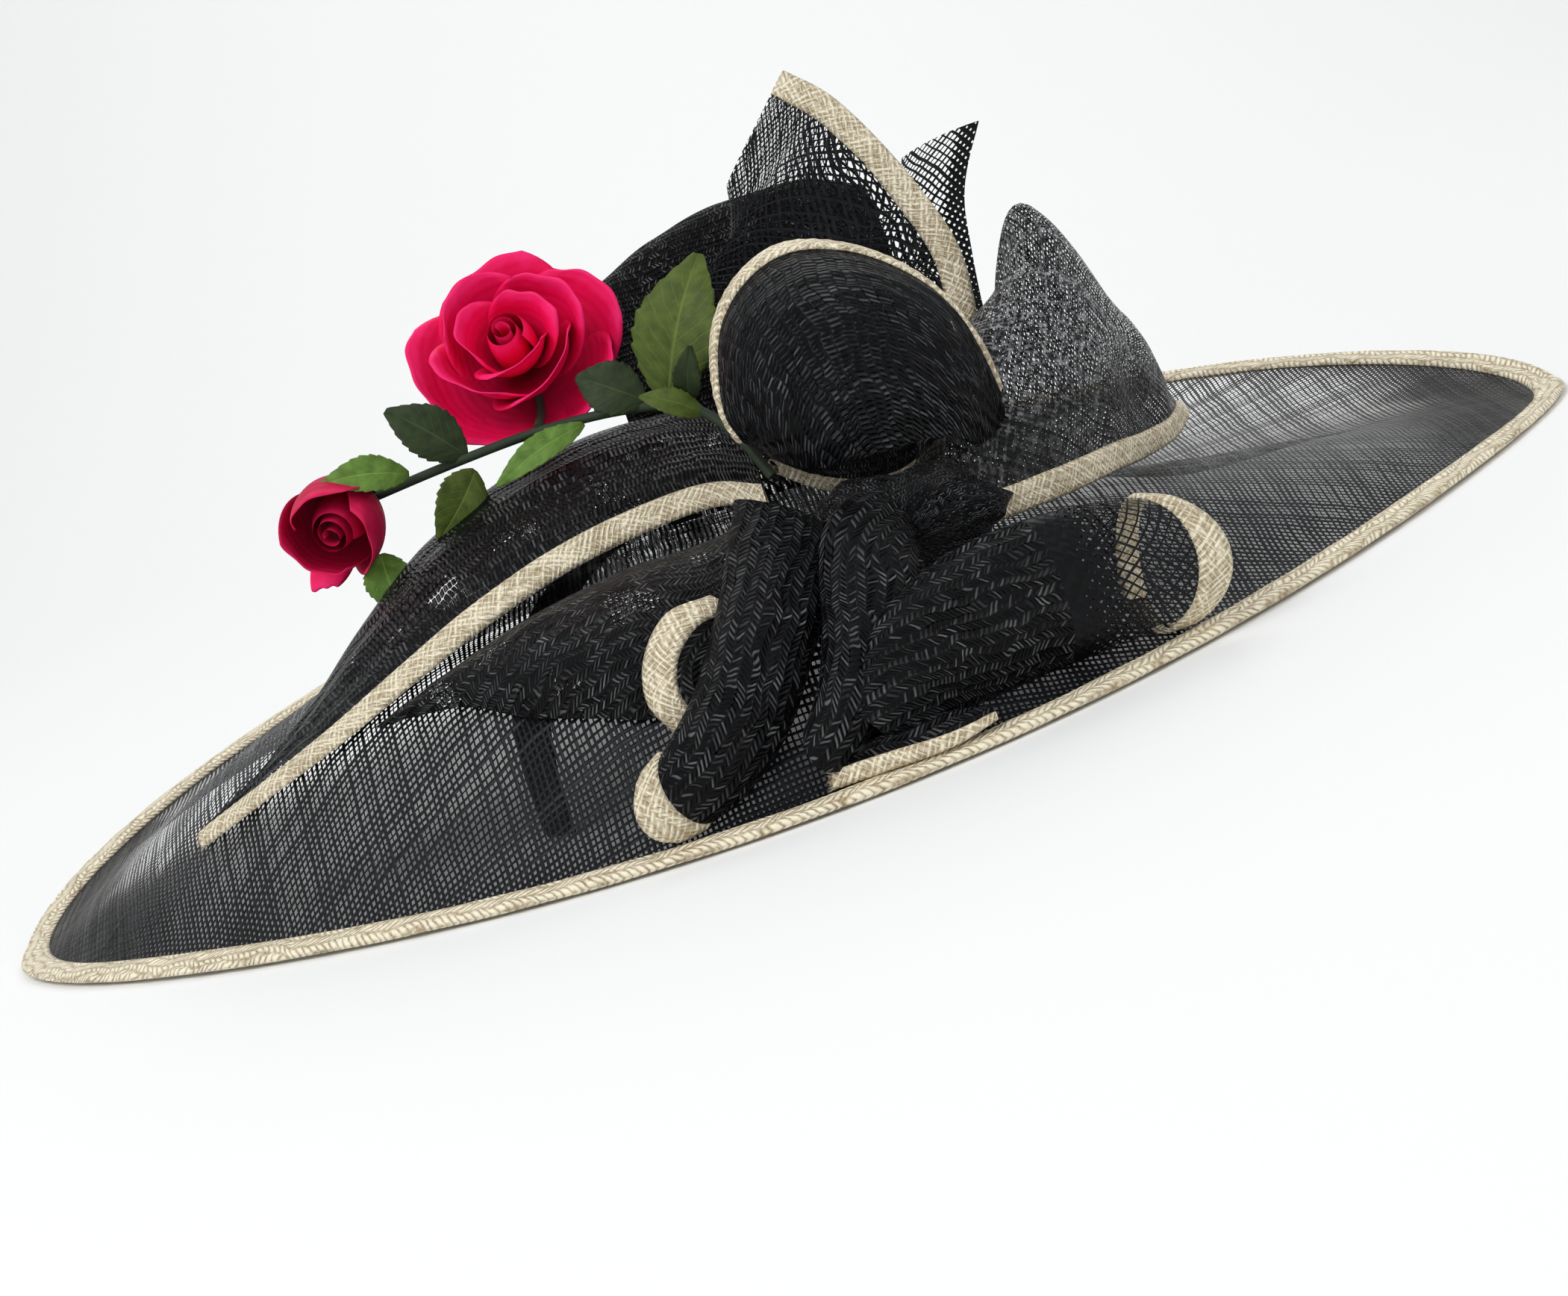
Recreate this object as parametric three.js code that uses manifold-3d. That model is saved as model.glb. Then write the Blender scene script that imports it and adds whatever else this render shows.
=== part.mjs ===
// Wide-brim sinamay hat: a long oval brim blocked with a steep front, a ridge and a far valley, a shallow
// crown, and a spray of bias-bound swirls, loops and fabric roses pinned to the front.
// Millimetres, +Z up. X runs along the brim's long axis, the front of the trimming faces -Y, and Z = 0 is
// the surface that the rim rests on.
import * as THREE from "three";
import { mergeVertices } from "three/addons/utils/BufferGeometryUtils.js";
import Module from "manifold-3d";

const wasm = await Module();
wasm.setup();

// Driving dimensions
const CLEARANCE = 0.3;
const BINDING_GAP = 0.5;
const STRIP_WALL = 1.2;
const BOUND_EDGE = { width: 8.5, wall: 1.7 };
const BRIM = {
  halfLength: 271, halfDepth: 204, pointLeft: 0.3, pointRight: 0.5, wall: 1.2, farLift: 38, rimHeight: 1.8,
};
const BRIM_BINDING = { tipWidth: 10.5, sideWidth: 6.5, leaf: 0.8 };
const CROWN = { centreX: -12, halfLength: 78, halfDepth: 68, top: 90, wall: 1.2 };
const PETAL_WALL = 1.0;
const LEAF_WALL = 1.0;

// Height of the brim at five stations between crown and rim, a row for every 45 degrees from the right tip.
const BRIM_STATIONS = { crown: 0, inner: 0.35, shoulder: 0.62, slope: 0.82, hem: 0.94 };
const BRIM_SECTIONS = [
  { crown: 50, inner: 17, shoulder: 11, slope: 7, hem: 3 },
  { crown: 50, inner: 24, shoulder: 19, slope: 22, hem: 26.5 },
  { crown: 56, inner: 34, shoulder: 30, slope: 34, hem: 38 },
  { crown: 60, inner: 40, shoulder: 29, slope: 26, hem: 26.5 },
  { crown: 66, inner: 46, shoulder: 29, slope: 14, hem: 5 },
  { crown: 68, inner: 62, shoulder: 50, slope: 24, hem: 5.5 },
  { crown: 68, inner: 63, shoulder: 49, slope: 19, hem: 4.6 },
  { crown: 62, inner: 42, shoulder: 31, slope: 16, hem: 5 },
];

// Strips of sinamay, a row for each section: the bound or near edge, the far edge and the height of the
// arch between them.
const SWAG_LEAF = [
  { near: [-184, -88, 30], far: [-183, -82, 32], bulge: 1 },
  { near: [-159, -101, 39], far: [-162, -72, 41], bulge: 3 },
  { near: [-130, -113, 49], far: [-140, -54, 50], bulge: 8 },
  { near: [-103, -120, 59], far: [-118, -38, 61], bulge: 14 },
  { near: [-77, -117, 67], far: [-94, -24, 71], bulge: 20 },
  { near: [-52, -109, 72], far: [-66, -12, 80], bulge: 22 },
  { near: [-26, -102, 74], far: [-38, -8, 86], bulge: 20 },
  { near: [-4, -104, 74], far: [-8, -14, 88], bulge: 16 },
  { near: [10, -115, 70], far: [10, -36, 84], bulge: 12 },
];
const SWAG_ROLL = [
  { near: [-9, -122, 68], far: [-19, -158, 46], bulge: 7 },
  { near: [-34, -117, 68], far: [-37, -167, 34], bulge: 13 },
  { near: [-60, -120, 65], far: [-55, -160, 38], bulge: 13 },
  { near: [-82, -124, 61], far: [-75, -149, 44], bulge: 9 },
  { near: [-102, -124, 56], far: [-90, -137, 50], bulge: 5 },
  { near: [-118, -121, 51], far: [-110, -124, 51], bulge: 1 },
];
const CURL_LEFT = [
  { near: [-15, -160, 59], far: [-7, -164, 50], bulge: 1 },
  { near: [-27, -163, 59], far: [-10, -168, 44], bulge: 3 },
  { near: [-37, -167, 50], far: [-13, -171, 38], bulge: 4 },
  { near: [-40, -172, 39], far: [-16, -174, 32], bulge: 4 },
  { near: [-36, -176, 30], far: [-20, -177, 27], bulge: 1 },
];
const TAIL_FRONT = [
  { near: [-1, -197, 5], far: [2, -191, 11], bulge: 1 },
  { near: [16, -199, 5], far: [16, -192, 13], bulge: 2 },
  { near: [33, -199, 5], far: [32, -192, 13], bulge: 2 },
  { near: [46, -196, 7], far: [45, -189, 10], bulge: 1 },
];
const HOOD_LOOP = [
  { near: [8, -118, 94], far: [12, -122, 88], bulge: -2 },
  { near: [8, -110, 109], far: [17, -129, 83], bulge: -7 },
  { near: [14, -104, 124], far: [26, -134, 78], bulge: -12 },
  { near: [25, -101, 134], far: [36, -137, 77], bulge: -15 },
  { near: [39, -100, 138], far: [47, -138, 76], bulge: -16 },
  { near: [56, -101, 132], far: [58, -135, 75], bulge: -15 },
  { near: [72, -105, 118], far: [69, -129, 70], bulge: -11 },
  { near: [81, -110, 100], far: [76, -122, 64], bulge: -6 },
  { near: [84, -115, 86], far: [81, -117, 62], bulge: -2 },
];
const HOOD_INNER = [
  { near: [16, -112, 78], far: [12, -96, 100], bulge: -2 },
  { near: [26, -110, 69], far: [22, -80, 118], bulge: -5 },
  { near: [37, -108, 63], far: [35, -74, 127], bulge: -7 },
  { near: [49, -108, 61], far: [52, -74, 124], bulge: -7 },
  { near: [62, -110, 66], far: [68, -81, 111], bulge: -5 },
  { near: [74, -112, 74], far: [79, -92, 97], bulge: -2 },
];
const TALL_LOOP = [
  { near: [86, -65, 73], far: [83, -3, 69], bulge: 80 },
  { near: [93, -52, 114], far: [92, 0, 109], bulge: 86 },
  { near: [88, -46, 137], far: [86, -2, 134], bulge: 80 },
  { near: [80, -41, 158], far: [78, -4, 154], bulge: 78 },
  { near: [72, -37, 173], far: [70, -7, 168], bulge: 66 },
  { near: [62, -33, 184], far: [60, -12, 180], bulge: 38 },
];
const BACK_ARCH = [
  { near: [-22, 4, 88], far: [-20, 32, 88], bulge: 51 },
  { near: [4, 4, 88], far: [6, 32, 88], bulge: 60 },
  { near: [30, 4, 88], far: [31, 32, 88], bulge: 64 },
  { near: [58, 4, 88], far: [58, 32, 88], bulge: 62 },
  { near: [78, 4, 88], far: [78, 30, 88], bulge: 53 },
];
const FIN = [
  { near: [95, 7, 34], far: [86, 15, 38], bulge: 2 },
  { near: [98, 8, 60], far: [84, 17, 60], bulge: 4 },
  { near: [100, 9, 84], far: [84, 19, 84], bulge: 5 },
  { near: [103, 10, 107], far: [85, 22, 109], bulge: 6 },
  { near: [108, 12, 128], far: [87, 24, 130], bulge: 6 },
  { near: [120, 14, 147], far: [93, 24, 144], bulge: 5 },
];
const RIGHT_LOOP = [
  { near: [52, -140, 46], far: [54, -56, 50], bulge: 18 },
  { near: [72, -129, 45], far: [72, -46, 49], bulge: 46 },
  { near: [93, -112, 42.5], far: [88, -36, 49], bulge: 56 },
  { near: [111, -90, 40], far: [90, -26, 50], bulge: 79 },
  { near: [124, -68, 37], far: [119, -12, 50], bulge: 38.5 },
  { near: [138, -47, 36], far: [124, -4, 48], bulge: 17.5 },
  { near: [146, -32, 38], far: [130, 2, 42], bulge: 8 },
];

// Rolled strips, a row for each station of the roll: its middle and its half width and half depth.
const ROLL_LEFT = [
  { at: [13, -132, 64], across: 12, depth: 9 },
  { at: [6, -152, 60], across: 14, depth: 10 },
  { at: [-5, -170, 44], across: 14, depth: 10 },
  { at: [-17, -181, 30], across: 14, depth: 9 },
  { at: [-31, -187, 20], across: 13, depth: 8 },
  { at: [-47, -189, 14], across: 10, depth: 7 },
];
const FOLD_MIDDLE = [
  { at: [40, -135, 61], across: 10, depth: 8 },
  { at: [36, -155, 54], across: 13, depth: 9 },
  { at: [26, -171, 38], across: 12, depth: 9 },
  { at: [13, -184, 24], across: 11, depth: 7 },
  { at: [0, -192, 14], across: 8, depth: 5 },
];
const TRUMPET_RIGHT = [
  { at: [14, -190, 14], across: 8, depth: 5 },
  { at: [34, -181, 25], across: 18, depth: 9 },
  { at: [54, -175, 29], across: 21, depth: 12 },
  { at: [73, -171, 29], across: 21, depth: 13 },
  { at: [92, -167, 27], across: 20, depth: 14 },
  { at: [110, -162, 23], across: 18, depth: 14 },
];

const KNOT = { centre: [43, -130, 51], half: [31, 18, 19], folds: 7, foldDepth: 0.07 };

// Half ring of the headband: its two ends, its height under the crown, and its width from top to ends.
const HEADBAND = {
  endA: [-80, -116], endB: [20, 26], foot: 1.2, apex: 69, square: 2.6, top: 18, end: 6, wall: 1.6,
};

// Roses: petals run from root over belly to tip, as [radius, height] about the bloom's axis.
const ROSE = { centre: [-46, -40, 134], facing: [-0.05, -0.8, 0.6], heart: [8.5, 8.5, 13] };
const ROSE_RINGS = [
  {
    name: "rose_inner_petal", count: 3, turn: 20, width: 25,
    root: [3, -9], belly: [11, 0], tip: [12, 13],
  },
  {
    name: "rose_middle_petal", count: 4, turn: 55, width: 37,
    root: [4, -12], belly: [18, -6], tip: [23, 9],
  },
  {
    name: "rose_outer_petal", count: 5, turn: 10, width: 48,
    root: [5, -15], belly: [25, -14], tip: [33, -3],
  },
];
const BUD = { centre: [-113, -62, 105], facing: [-0.25, -0.9, -0.2], heart: [9.2, 9.2, 12] };
const BUD_RINGS = [
  {
    name: "bud_petal", count: 3, turn: 80, width: 44,
    root: [3, -12], belly: [19, -6], tip: [15, 12],
  },
];
const BUD_FALLEN = [
  {
    name: "bud_fallen_petal", count: 1, turn: -52, width: 17,
    root: [5, -13], belly: [20, -13], tip: [25, -2],
  },
];

const STEM_RADIUS = 1.5;
const STEM_PATH = [
  [14, -116, 78], [8, -108, 93], [-2, -92, 103], [-20, -74, 107],
  [-47, -62, 109], [-75, -62, 109], [-108.5, -52.5, 106.8],
];
const STALK_PATH = [
  [-46.5, -61.5, 110], [-45, -42, 116], [-44, -26, 126], [-44, -23, 135],
];

// Leaves, from where they leave the stem to the tip, with their width, arch and roll.
const LEAVES = [
  { name: "leaf_olive", base: [-7, -85, 105.5], tip: [17, -80, 143], width: 27, arch: 5, roll: -25 },
  { name: "leaf_dark_right", base: [-13, -79, 108], tip: [-29, -70, 119], width: 14, arch: 2, roll: 10 },
  { name: "leaf_small_lower", base: [2, -98, 100], tip: [-14, -94, 111], width: 9, arch: 2, roll: 30 },
  { name: "leaf_small_upper", base: [-1, -92, 104], tip: [5, -98, 120], width: 9, arch: 2, roll: -20 },
  { name: "leaf_rose_left", base: [-70, -62, 110], tip: [-88, -60, 131], width: 17, arch: 3, roll: 20 },
  { name: "leaf_pointing", base: [-88, -64, 111], tip: [-113, -70, 118], width: 12, arch: 4, roll: 25 },
  { name: "leaf_hanging", base: [-69, -64, 105], tip: [-86, -72, 90], width: 17, arch: 3, roll: -15 },
  { name: "leaf_under_rose", base: [-33, -68.5, 107], tip: [-64, -72, 99], width: 10, arch: 3, roll: 30 },
  { name: "leaf_under_bud", base: [-105, -62, 91], tip: [-106, -68, 75], width: 13, arch: 2, roll: 0 },
];

const FINISH = {
  sinamay: { color: 0x15171b, roughness: 0.5, metalness: 0 },
  binding: { color: 0xcfc3a4, roughness: 0.75, metalness: 0 },
  petal: { color: 0xb8093f, roughness: 0.7, metalness: 0 },
  petalDark: { color: 0x8c0a30, roughness: 0.7, metalness: 0 },
  leaf: { color: 0x44571f, roughness: 0.65, metalness: 0 },
  leafLight: { color: 0x6d8a36, roughness: 0.65, metalness: 0 },
  stem: { color: 0x1d2a1a, roughness: 0.7, metalness: 0 },
};

const vector = (list) => new THREE.Vector3(...list);
const radians = THREE.MathUtils.degToRad;

// A solid of the manifold library from a geometry, its doubled vertices joined and its faces turned out.
function solidOf(geometry) {
  const bare = geometry.clone();
  bare.deleteAttribute("normal");
  bare.deleteAttribute("uv");
  const merged = mergeVertices(bare, 1e-4);
  const position = merged.getAttribute("position");
  const index = merged.getIndex().array;
  const faces = [];
  let volume = 0;
  const [a, b, c] = [new THREE.Vector3(), new THREE.Vector3(), new THREE.Vector3()];
  for (let i = 0; i < index.length; i += 3) {
    const [p, q, r] = [index[i], index[i + 1], index[i + 2]];
    if (p === q || q === r || r === p) continue;
    faces.push(p, q, r);
    a.fromBufferAttribute(position, p);
    b.fromBufferAttribute(position, q);
    c.fromBufferAttribute(position, r);
    volume += a.dot(b.cross(c));
  }
  if (volume < 0) faces.reverse();
  return new wasm.Manifold(
    new wasm.Mesh({
      numProp: 3,
      vertProperties: Float32Array.from(position.array),
      triVerts: Uint32Array.from(faces),
    }),
  );
}

// The geometry of a solid, for a mesh.
function geometryOf(solid) {
  const mesh = solid.getMesh();
  const geometry = new THREE.BufferGeometry();
  geometry.setAttribute("position", new THREE.BufferAttribute(Float32Array.from(mesh.vertProperties), 3));
  geometry.setIndex(new THREE.BufferAttribute(Uint32Array.from(mesh.triVerts), 1));
  geometry.computeVertexNormals();
  return geometry;
}

// A wall of even thickness on a grid of points. closedRows joins the last row to the first, closedColumns
// the last column to the first. grow adds that much to every face.
function wallOn(grid, wall, grow, { closedRows = false, closedColumns = false } = {}) {
  const rows = grid.length;
  const columns = grid[0].length;
  const points = grid.map((row) => row.map((point) => point.clone()));
  if (grow > 0 && !closedRows) {
    for (let j = 0; j < columns; j++) {
      const last = grid[rows - 1][j];
      points[0][j].addScaledVector(grid[0][j].clone().sub(grid[1][j]).normalize(), grow);
      points[rows - 1][j].addScaledVector(last.clone().sub(grid[rows - 2][j]).normalize(), grow);
    }
  }
  if (grow > 0 && !closedColumns) {
    for (let i = 0; i < rows; i++) {
      points[i][0].addScaledVector(grid[i][0].clone().sub(grid[i][1]).normalize(), grow);
      points[i][columns - 1].addScaledVector(
        grid[i][columns - 1].clone().sub(grid[i][columns - 2]).normalize(), grow);
    }
  }
  const row = (i) => (closedRows ? (i + rows) % rows : Math.min(Math.max(i, 0), rows - 1));
  const column = (j) => (closedColumns ? (j + columns) % columns : Math.min(Math.max(j, 0), columns - 1));
  const half = wall / 2 + grow;
  const upper = [];
  const lower = [];
  for (let i = 0; i < rows; i++) {
    for (let j = 0; j < columns; j++) {
      const alongRows = points[row(i + 1)][j].clone().sub(points[row(i - 1)][j]);
      const alongColumns = points[i][column(j + 1)].clone().sub(points[i][column(j - 1)]);
      const normal = alongRows.cross(alongColumns).normalize();
      upper.push(points[i][j].clone().addScaledVector(normal, half));
      lower.push(points[i][j].clone().addScaledVector(normal, -half));
    }
  }
  const at = (i, j) => row(i) * columns + column(j);
  const under = rows * columns;
  const index = [];
  const quad = (p, q, r, s) => index.push(p, q, r, p, r, s);
  const lastRow = closedRows ? rows : rows - 1;
  const lastColumn = closedColumns ? columns : columns - 1;
  for (let i = 0; i < lastRow; i++) {
    for (let j = 0; j < lastColumn; j++) {
      const corners = [at(i, j), at(i, j + 1), at(i + 1, j + 1), at(i + 1, j)];
      quad(...corners);
      quad(...corners.map((k) => k + under).reverse());
    }
  }
  const edge = (p, q) => quad(p, p + under, q + under, q);
  if (!closedRows) {
    for (let j = 0; j < lastColumn; j++) {
      edge(at(0, j), at(0, j + 1));
      edge(at(rows - 1, j + 1), at(rows - 1, j));
    }
  }
  if (!closedColumns) {
    for (let i = 0; i < lastRow; i++) {
      edge(at(i + 1, 0), at(i, 0));
      edge(at(i, columns - 1), at(i + 1, columns - 1));
    }
  }
  return meshOf([...upper, ...lower], index);
}

// A geometry from points and the numbers of each triangle's corners.
function meshOf(points, index) {
  const geometry = new THREE.BufferGeometry();
  const places = points.flatMap((point) => point.toArray());
  geometry.setAttribute("position", new THREE.Float32BufferAttribute(places, 3));
  geometry.setIndex(index);
  return geometry;
}

// Points at even steps along a line of points, between two distances from its start.
function stretch(line, from, to, steps) {
  const reach = [0];
  for (let k = 1; k < line.length; k++) reach.push(reach[k - 1] + line[k].distanceTo(line[k - 1]));
  const end = to === null ? reach[reach.length - 1] : to;
  const found = [];
  for (let s = 0; s <= steps; s++) {
    const distance = from + ((end - from) * s) / steps;
    let k = 1;
    while (k < line.length - 1 && reach[k] < distance) k++;
    const share = (distance - reach[k - 1]) / (reach[k] - reach[k - 1]);
    found.push(line[k - 1].clone().lerp(line[k], share));
  }
  return found;
}

const lengthOf = (line) => line.slice(1).reduce((sum, point, k) => sum + point.distanceTo(line[k]), 0);

// Fine cross-sections of a strip: an arc from the near edge to the far one, a half ellipse where deep.
function sectionsOf(strip, along, fine = 32) {
  const near = new THREE.CatmullRomCurve3(strip.map((row) => vector(row.near)));
  const far = new THREE.CatmullRomCurve3(strip.map((row) => vector(row.far)));
  const arch = new THREE.CatmullRomCurve3(strip.map((row) => new THREE.Vector3(row.bulge, 0, 0)));
  const sections = [];
  for (let i = 0; i <= along; i++) {
    const share = i / along;
    const start = near.getPoint(share);
    const end = far.getPoint(share);
    const chord = end.clone().sub(start);
    const half = chord.length() / 2;
    const bulge = arch.getPoint(share).x;
    const travel = near.getTangent(share).add(far.getTangent(share));
    const normal = travel.cross(chord).normalize();
    const opening = Math.max(0, Math.PI / 2 - 2 * Math.atan(Math.abs(bulge) / half));
    const middle = start.clone().add(end).multiplyScalar(0.5);
    const direction = chord.clone().normalize();
    const line = [];
    for (let k = 0; k <= fine; k++) {
      const angle = opening + ((Math.PI - 2 * opening) * k) / fine;
      const across = (-Math.cos(angle) / Math.cos(opening)) * half;
      const rise = ((Math.sin(angle) - Math.sin(opening)) / (1 - Math.sin(opening))) * bulge;
      line.push(middle.clone().addScaledVector(direction, across).addScaledVector(normal, rise));
    }
    sections.push(line);
  }
  return sections;
}

// The black body of a strip. bound leaves the room of a binding at its near edge.
function stripBody(strip, { along, across, bound }) {
  const start = bound ? BOUND_EDGE.width + BINDING_GAP : 0;
  const grid = sectionsOf(strip, along).map((line) => {
    const room = Math.min(start, lengthOf(line) * 0.6);
    return stretch(line, room, null, across);
  });
  return (grow) => wallOn(grid, STRIP_WALL, grow);
}

// The cream binding along the near edge of a strip.
function stripBinding(strip, { along }) {
  const grid = sectionsOf(strip, along).map((line) => {
    const room = Math.min(BOUND_EDGE.width + BINDING_GAP, lengthOf(line) * 0.6);
    return stretch(line, 0, room - BINDING_GAP, 1);
  });
  return (grow) => wallOn(grid, BOUND_EDGE.wall, grow);
}

// Lines along a rolled strip, one for each step round it, from its first station to its mouth.
function linesOfRoll(roll, around, fine = 30) {
  const middle = new THREE.CatmullRomCurve3(roll.map((row) => vector(row.at)));
  const size = new THREE.CatmullRomCurve3(roll.map((row) => new THREE.Vector3(row.across, row.depth, 0)));
  const lines = Array.from({ length: around }, () => []);
  for (let i = 0; i <= fine; i++) {
    const share = i / fine;
    const travel = middle.getTangent(share);
    const front = new THREE.Vector3(0, -1, 0);
    front.addScaledVector(travel, -front.dot(travel)).normalize();
    const side = travel.clone().cross(front);
    const { x: across, y: depth } = size.getPoint(share);
    lines.forEach((line, k) => {
      const angle = (2 * Math.PI * k) / around;
      line.push(
        middle.getPoint(share)
          .addScaledVector(side, across * Math.cos(angle))
          .addScaledVector(front, depth * Math.sin(angle)),
      );
    });
  }
  return lines;
}

// The black body of a rolled strip, open at both ends, with the room of a binding at its mouth.
function rollBody(roll, { along, around, bound }) {
  const grid = linesOfRoll(roll, around).map((line) => {
    const end = lengthOf(line) - (bound ? BOUND_EDGE.width + BINDING_GAP : 0);
    return stretch(line, 0, end, along);
  });
  return (grow) => wallOn(grid, STRIP_WALL, grow, { closedRows: true });
}

// The cream binding round the mouth of a rolled strip.
function rollBinding(roll, { around }) {
  const grid = linesOfRoll(roll, around).map(
    (line) => stretch(line, lengthOf(line) - BOUND_EDGE.width, null, 1));
  return (grow) => wallOn(grid, BOUND_EDGE.wall, grow, { closedRows: true });
}

// A smooth value through evenly spaced ones, between values[k] and values[k + 1] at share 0 to 1.
function smooth(before, from, to, after, share) {
  const [slopeFrom, slopeTo] = [(to - before) / 2, (after - from) / 2];
  const cube = share ** 3;
  const square = share ** 2;
  return (
    from * (2 * cube - 3 * square + 1) + slopeFrom * (cube - 2 * square + share) +
    to * (3 * square - 2 * cube) + slopeTo * (cube - square)
  );
}

// Height of the rim's middle line at an angle round the brim.
const rimHeight = (angle) => BRIM.rimHeight + BRIM.farLift * Math.max(0, Math.sin(angle)) ** 1.1;

// Height of the brim at one station column, between the table's rows.
function sectionHeight(column, angle) {
  const count = BRIM_SECTIONS.length;
  const turn = ((angle / (2 * Math.PI)) * count + count) % count;
  const k = Math.floor(turn);
  const value = (i) => BRIM_SECTIONS[(i + count) % count][column];
  return smooth(value(k - 1), value(k), value(k + 1), value(k + 2), turn - k);
}

const crownEdge = (angle) => new THREE.Vector3(
  CROWN.centreX + CROWN.halfLength * Math.cos(angle), CROWN.halfDepth * Math.sin(angle), 0);

// The rim's outline, an oval drawn to a blunt point at each tip.
function rimEdge(angle) {
  const [x, y] = [Math.cos(angle), Math.sin(angle)];
  const point = (BRIM.pointLeft + BRIM.pointRight) / 2 + (x * (BRIM.pointRight - BRIM.pointLeft)) / 2;
  return new THREE.Vector3(BRIM.halfLength * x, BRIM.halfDepth * y * (1 - point * x * x), 0);
}

const brimSpan = (angle) => crownEdge(angle).distanceTo(rimEdge(angle));

// The brim's middle surface: share 0 at the crown, 1 at the rim.
function brimPoint(angle, share) {
  const stations = [...Object.entries(BRIM_STATIONS), ["rim", 1]];
  const heights = stations.map(
    ([column]) => (column === "rim" ? rimHeight(angle) : sectionHeight(column, angle)));
  const places = stations.map(([, place]) => place);
  let k = 0;
  while (k < places.length - 2 && places[k + 1] < share) k++;
  const slope = (i) => {
    const [low, high] = [Math.max(i - 1, 0), Math.min(i + 1, places.length - 1)];
    return (heights[high] - heights[low]) / (places[high] - places[low]);
  };
  const width = places[k + 1] - places[k];
  const part = (share - places[k]) / width;
  const [square, cube] = [part ** 2, part ** 3];
  const height =
    heights[k] * (2 * cube - 3 * square + 1) + slope(k) * width * (cube - 2 * square + part) +
    heights[k + 1] * (3 * square - 2 * cube) + slope(k + 1) * width * (cube - square);
  const point = crownEdge(angle).lerp(rimEdge(angle), share);
  point.z = height;
  return point;
}

const ROUND_STEPS = 48;
const BRIM_SHARES = [0, 0.16, 0.34, 0.5, 0.64, 0.78, 0.88];
const roundAngles = Array.from({ length: ROUND_STEPS }, (_, k) => (2 * Math.PI * k) / ROUND_STEPS);

// The binding is wide at the tips and narrow along the sides.
const bindingWidth = (angle) =>
  BRIM_BINDING.sideWidth + (BRIM_BINDING.tipWidth - BRIM_BINDING.sideWidth) * Math.cos(angle) ** 2;

function brimWall(grow) {
  const grid = roundAngles.map((angle) => {
    const span = brimSpan(angle);
    const inBinding = 1 - bindingWidth(angle) / span;
    const edge = 1 - (BRIM_BINDING.leaf + CLEARANCE) / span;
    return [...BRIM_SHARES, inBinding, edge].map((share) => brimPoint(angle, share));
  });
  return wallOn(grid, BRIM.wall, grow, { closedRows: true });
}

// The folded strip round the rim: a U in section that holds the brim's edge with a clearance.
function brimBindingWall(grow) {
  const inner = BRIM.wall / 2 + CLEARANCE - grow;
  const outer = BRIM.wall / 2 + CLEARANCE + BRIM_BINDING.leaf + grow;
  const points = [];
  const sides = 8;
  const normalAt = (angle, share) => {
    const step = 0.01;
    const outward = brimPoint(angle, share + step).sub(brimPoint(angle, share - step));
    const around = brimPoint(angle + step, share).sub(brimPoint(angle - step, share));
    return outward.cross(around).normalize();
  };
  for (const angle of roundAngles) {
    const span = brimSpan(angle);
    const hem = 1 - (bindingWidth(angle) + grow) / span;
    const fold = 1 - (BRIM_BINDING.leaf - grow) / span;
    const nose = 1 + grow / span;
    const section = [
      [hem, outer], [nose, outer], [nose, -outer], [hem, -outer],
      [hem, -inner], [fold, -inner], [fold, inner], [hem, inner],
    ];
    for (const [share, offset] of section) {
      const normal = normalAt(angle, Math.min(share, 0.99));
      points.push(brimPoint(angle, share).addScaledVector(normal, offset));
    }
  }
  const index = [];
  for (let i = 0; i < ROUND_STEPS; i++) {
    for (let k = 0; k < sides; k++) {
      const [here, next] = [i * sides, ((i + 1) % ROUND_STEPS) * sides];
      const [p, q] = [here + k, here + ((k + 1) % sides)];
      const [r, s] = [next + ((k + 1) % sides), next + k];
      index.push(p, q, r, p, r, s);
    }
  }
  return meshOf(points, index);
}

// The crown stands inside the brim's inner edge, with a clearance.
function crownWall(grow) {
  const steps = 5;
  const inset = BRIM.wall / 2 + CLEARANCE;
  const profile = [];
  for (const shift of [grow, -CROWN.wall - grow]) {
    const ring = [];
    for (let k = 0; k <= steps; k++) {
      const angle = (Math.PI / 2) * (k / steps);
      ring.push(new THREE.Vector2(Math.cos(angle) * (1 + shift / CROWN.halfDepth), Math.sin(angle)));
    }
    profile.push(shift === grow ? ring.reverse() : ring);
  }
  const lathe = new THREE.LatheGeometry([...profile[0], ...profile[1]], 24);
  lathe.rotateX(Math.PI / 2);
  const position = lathe.getAttribute("position");
  for (let i = 0; i < position.count; i++) {
    const [x, y, rise] = [position.getX(i), position.getY(i), position.getZ(i)];
    const radius = Math.hypot(x, y);
    const inside = radius ** 2 + rise ** 2 < 1 - CROWN.wall / CROWN.halfDepth / 2;
    const base = radius > 0 ? sectionHeight("crown", Math.atan2(y, x)) : 0;
    const skin = inside ? -CROWN.wall - grow : grow;
    const foot = base - BRIM.wall / 2 - grow;
    const height = radius < 1e-6 ? CROWN.top + skin : foot + (CROWN.top + skin - foot) * Math.abs(rise);
    position.setXYZ(i,
      CROWN.centreX + x * (CROWN.halfLength - inset),
      y * (CROWN.halfDepth - inset),
      height);
  }
  return lathe;
}

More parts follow.
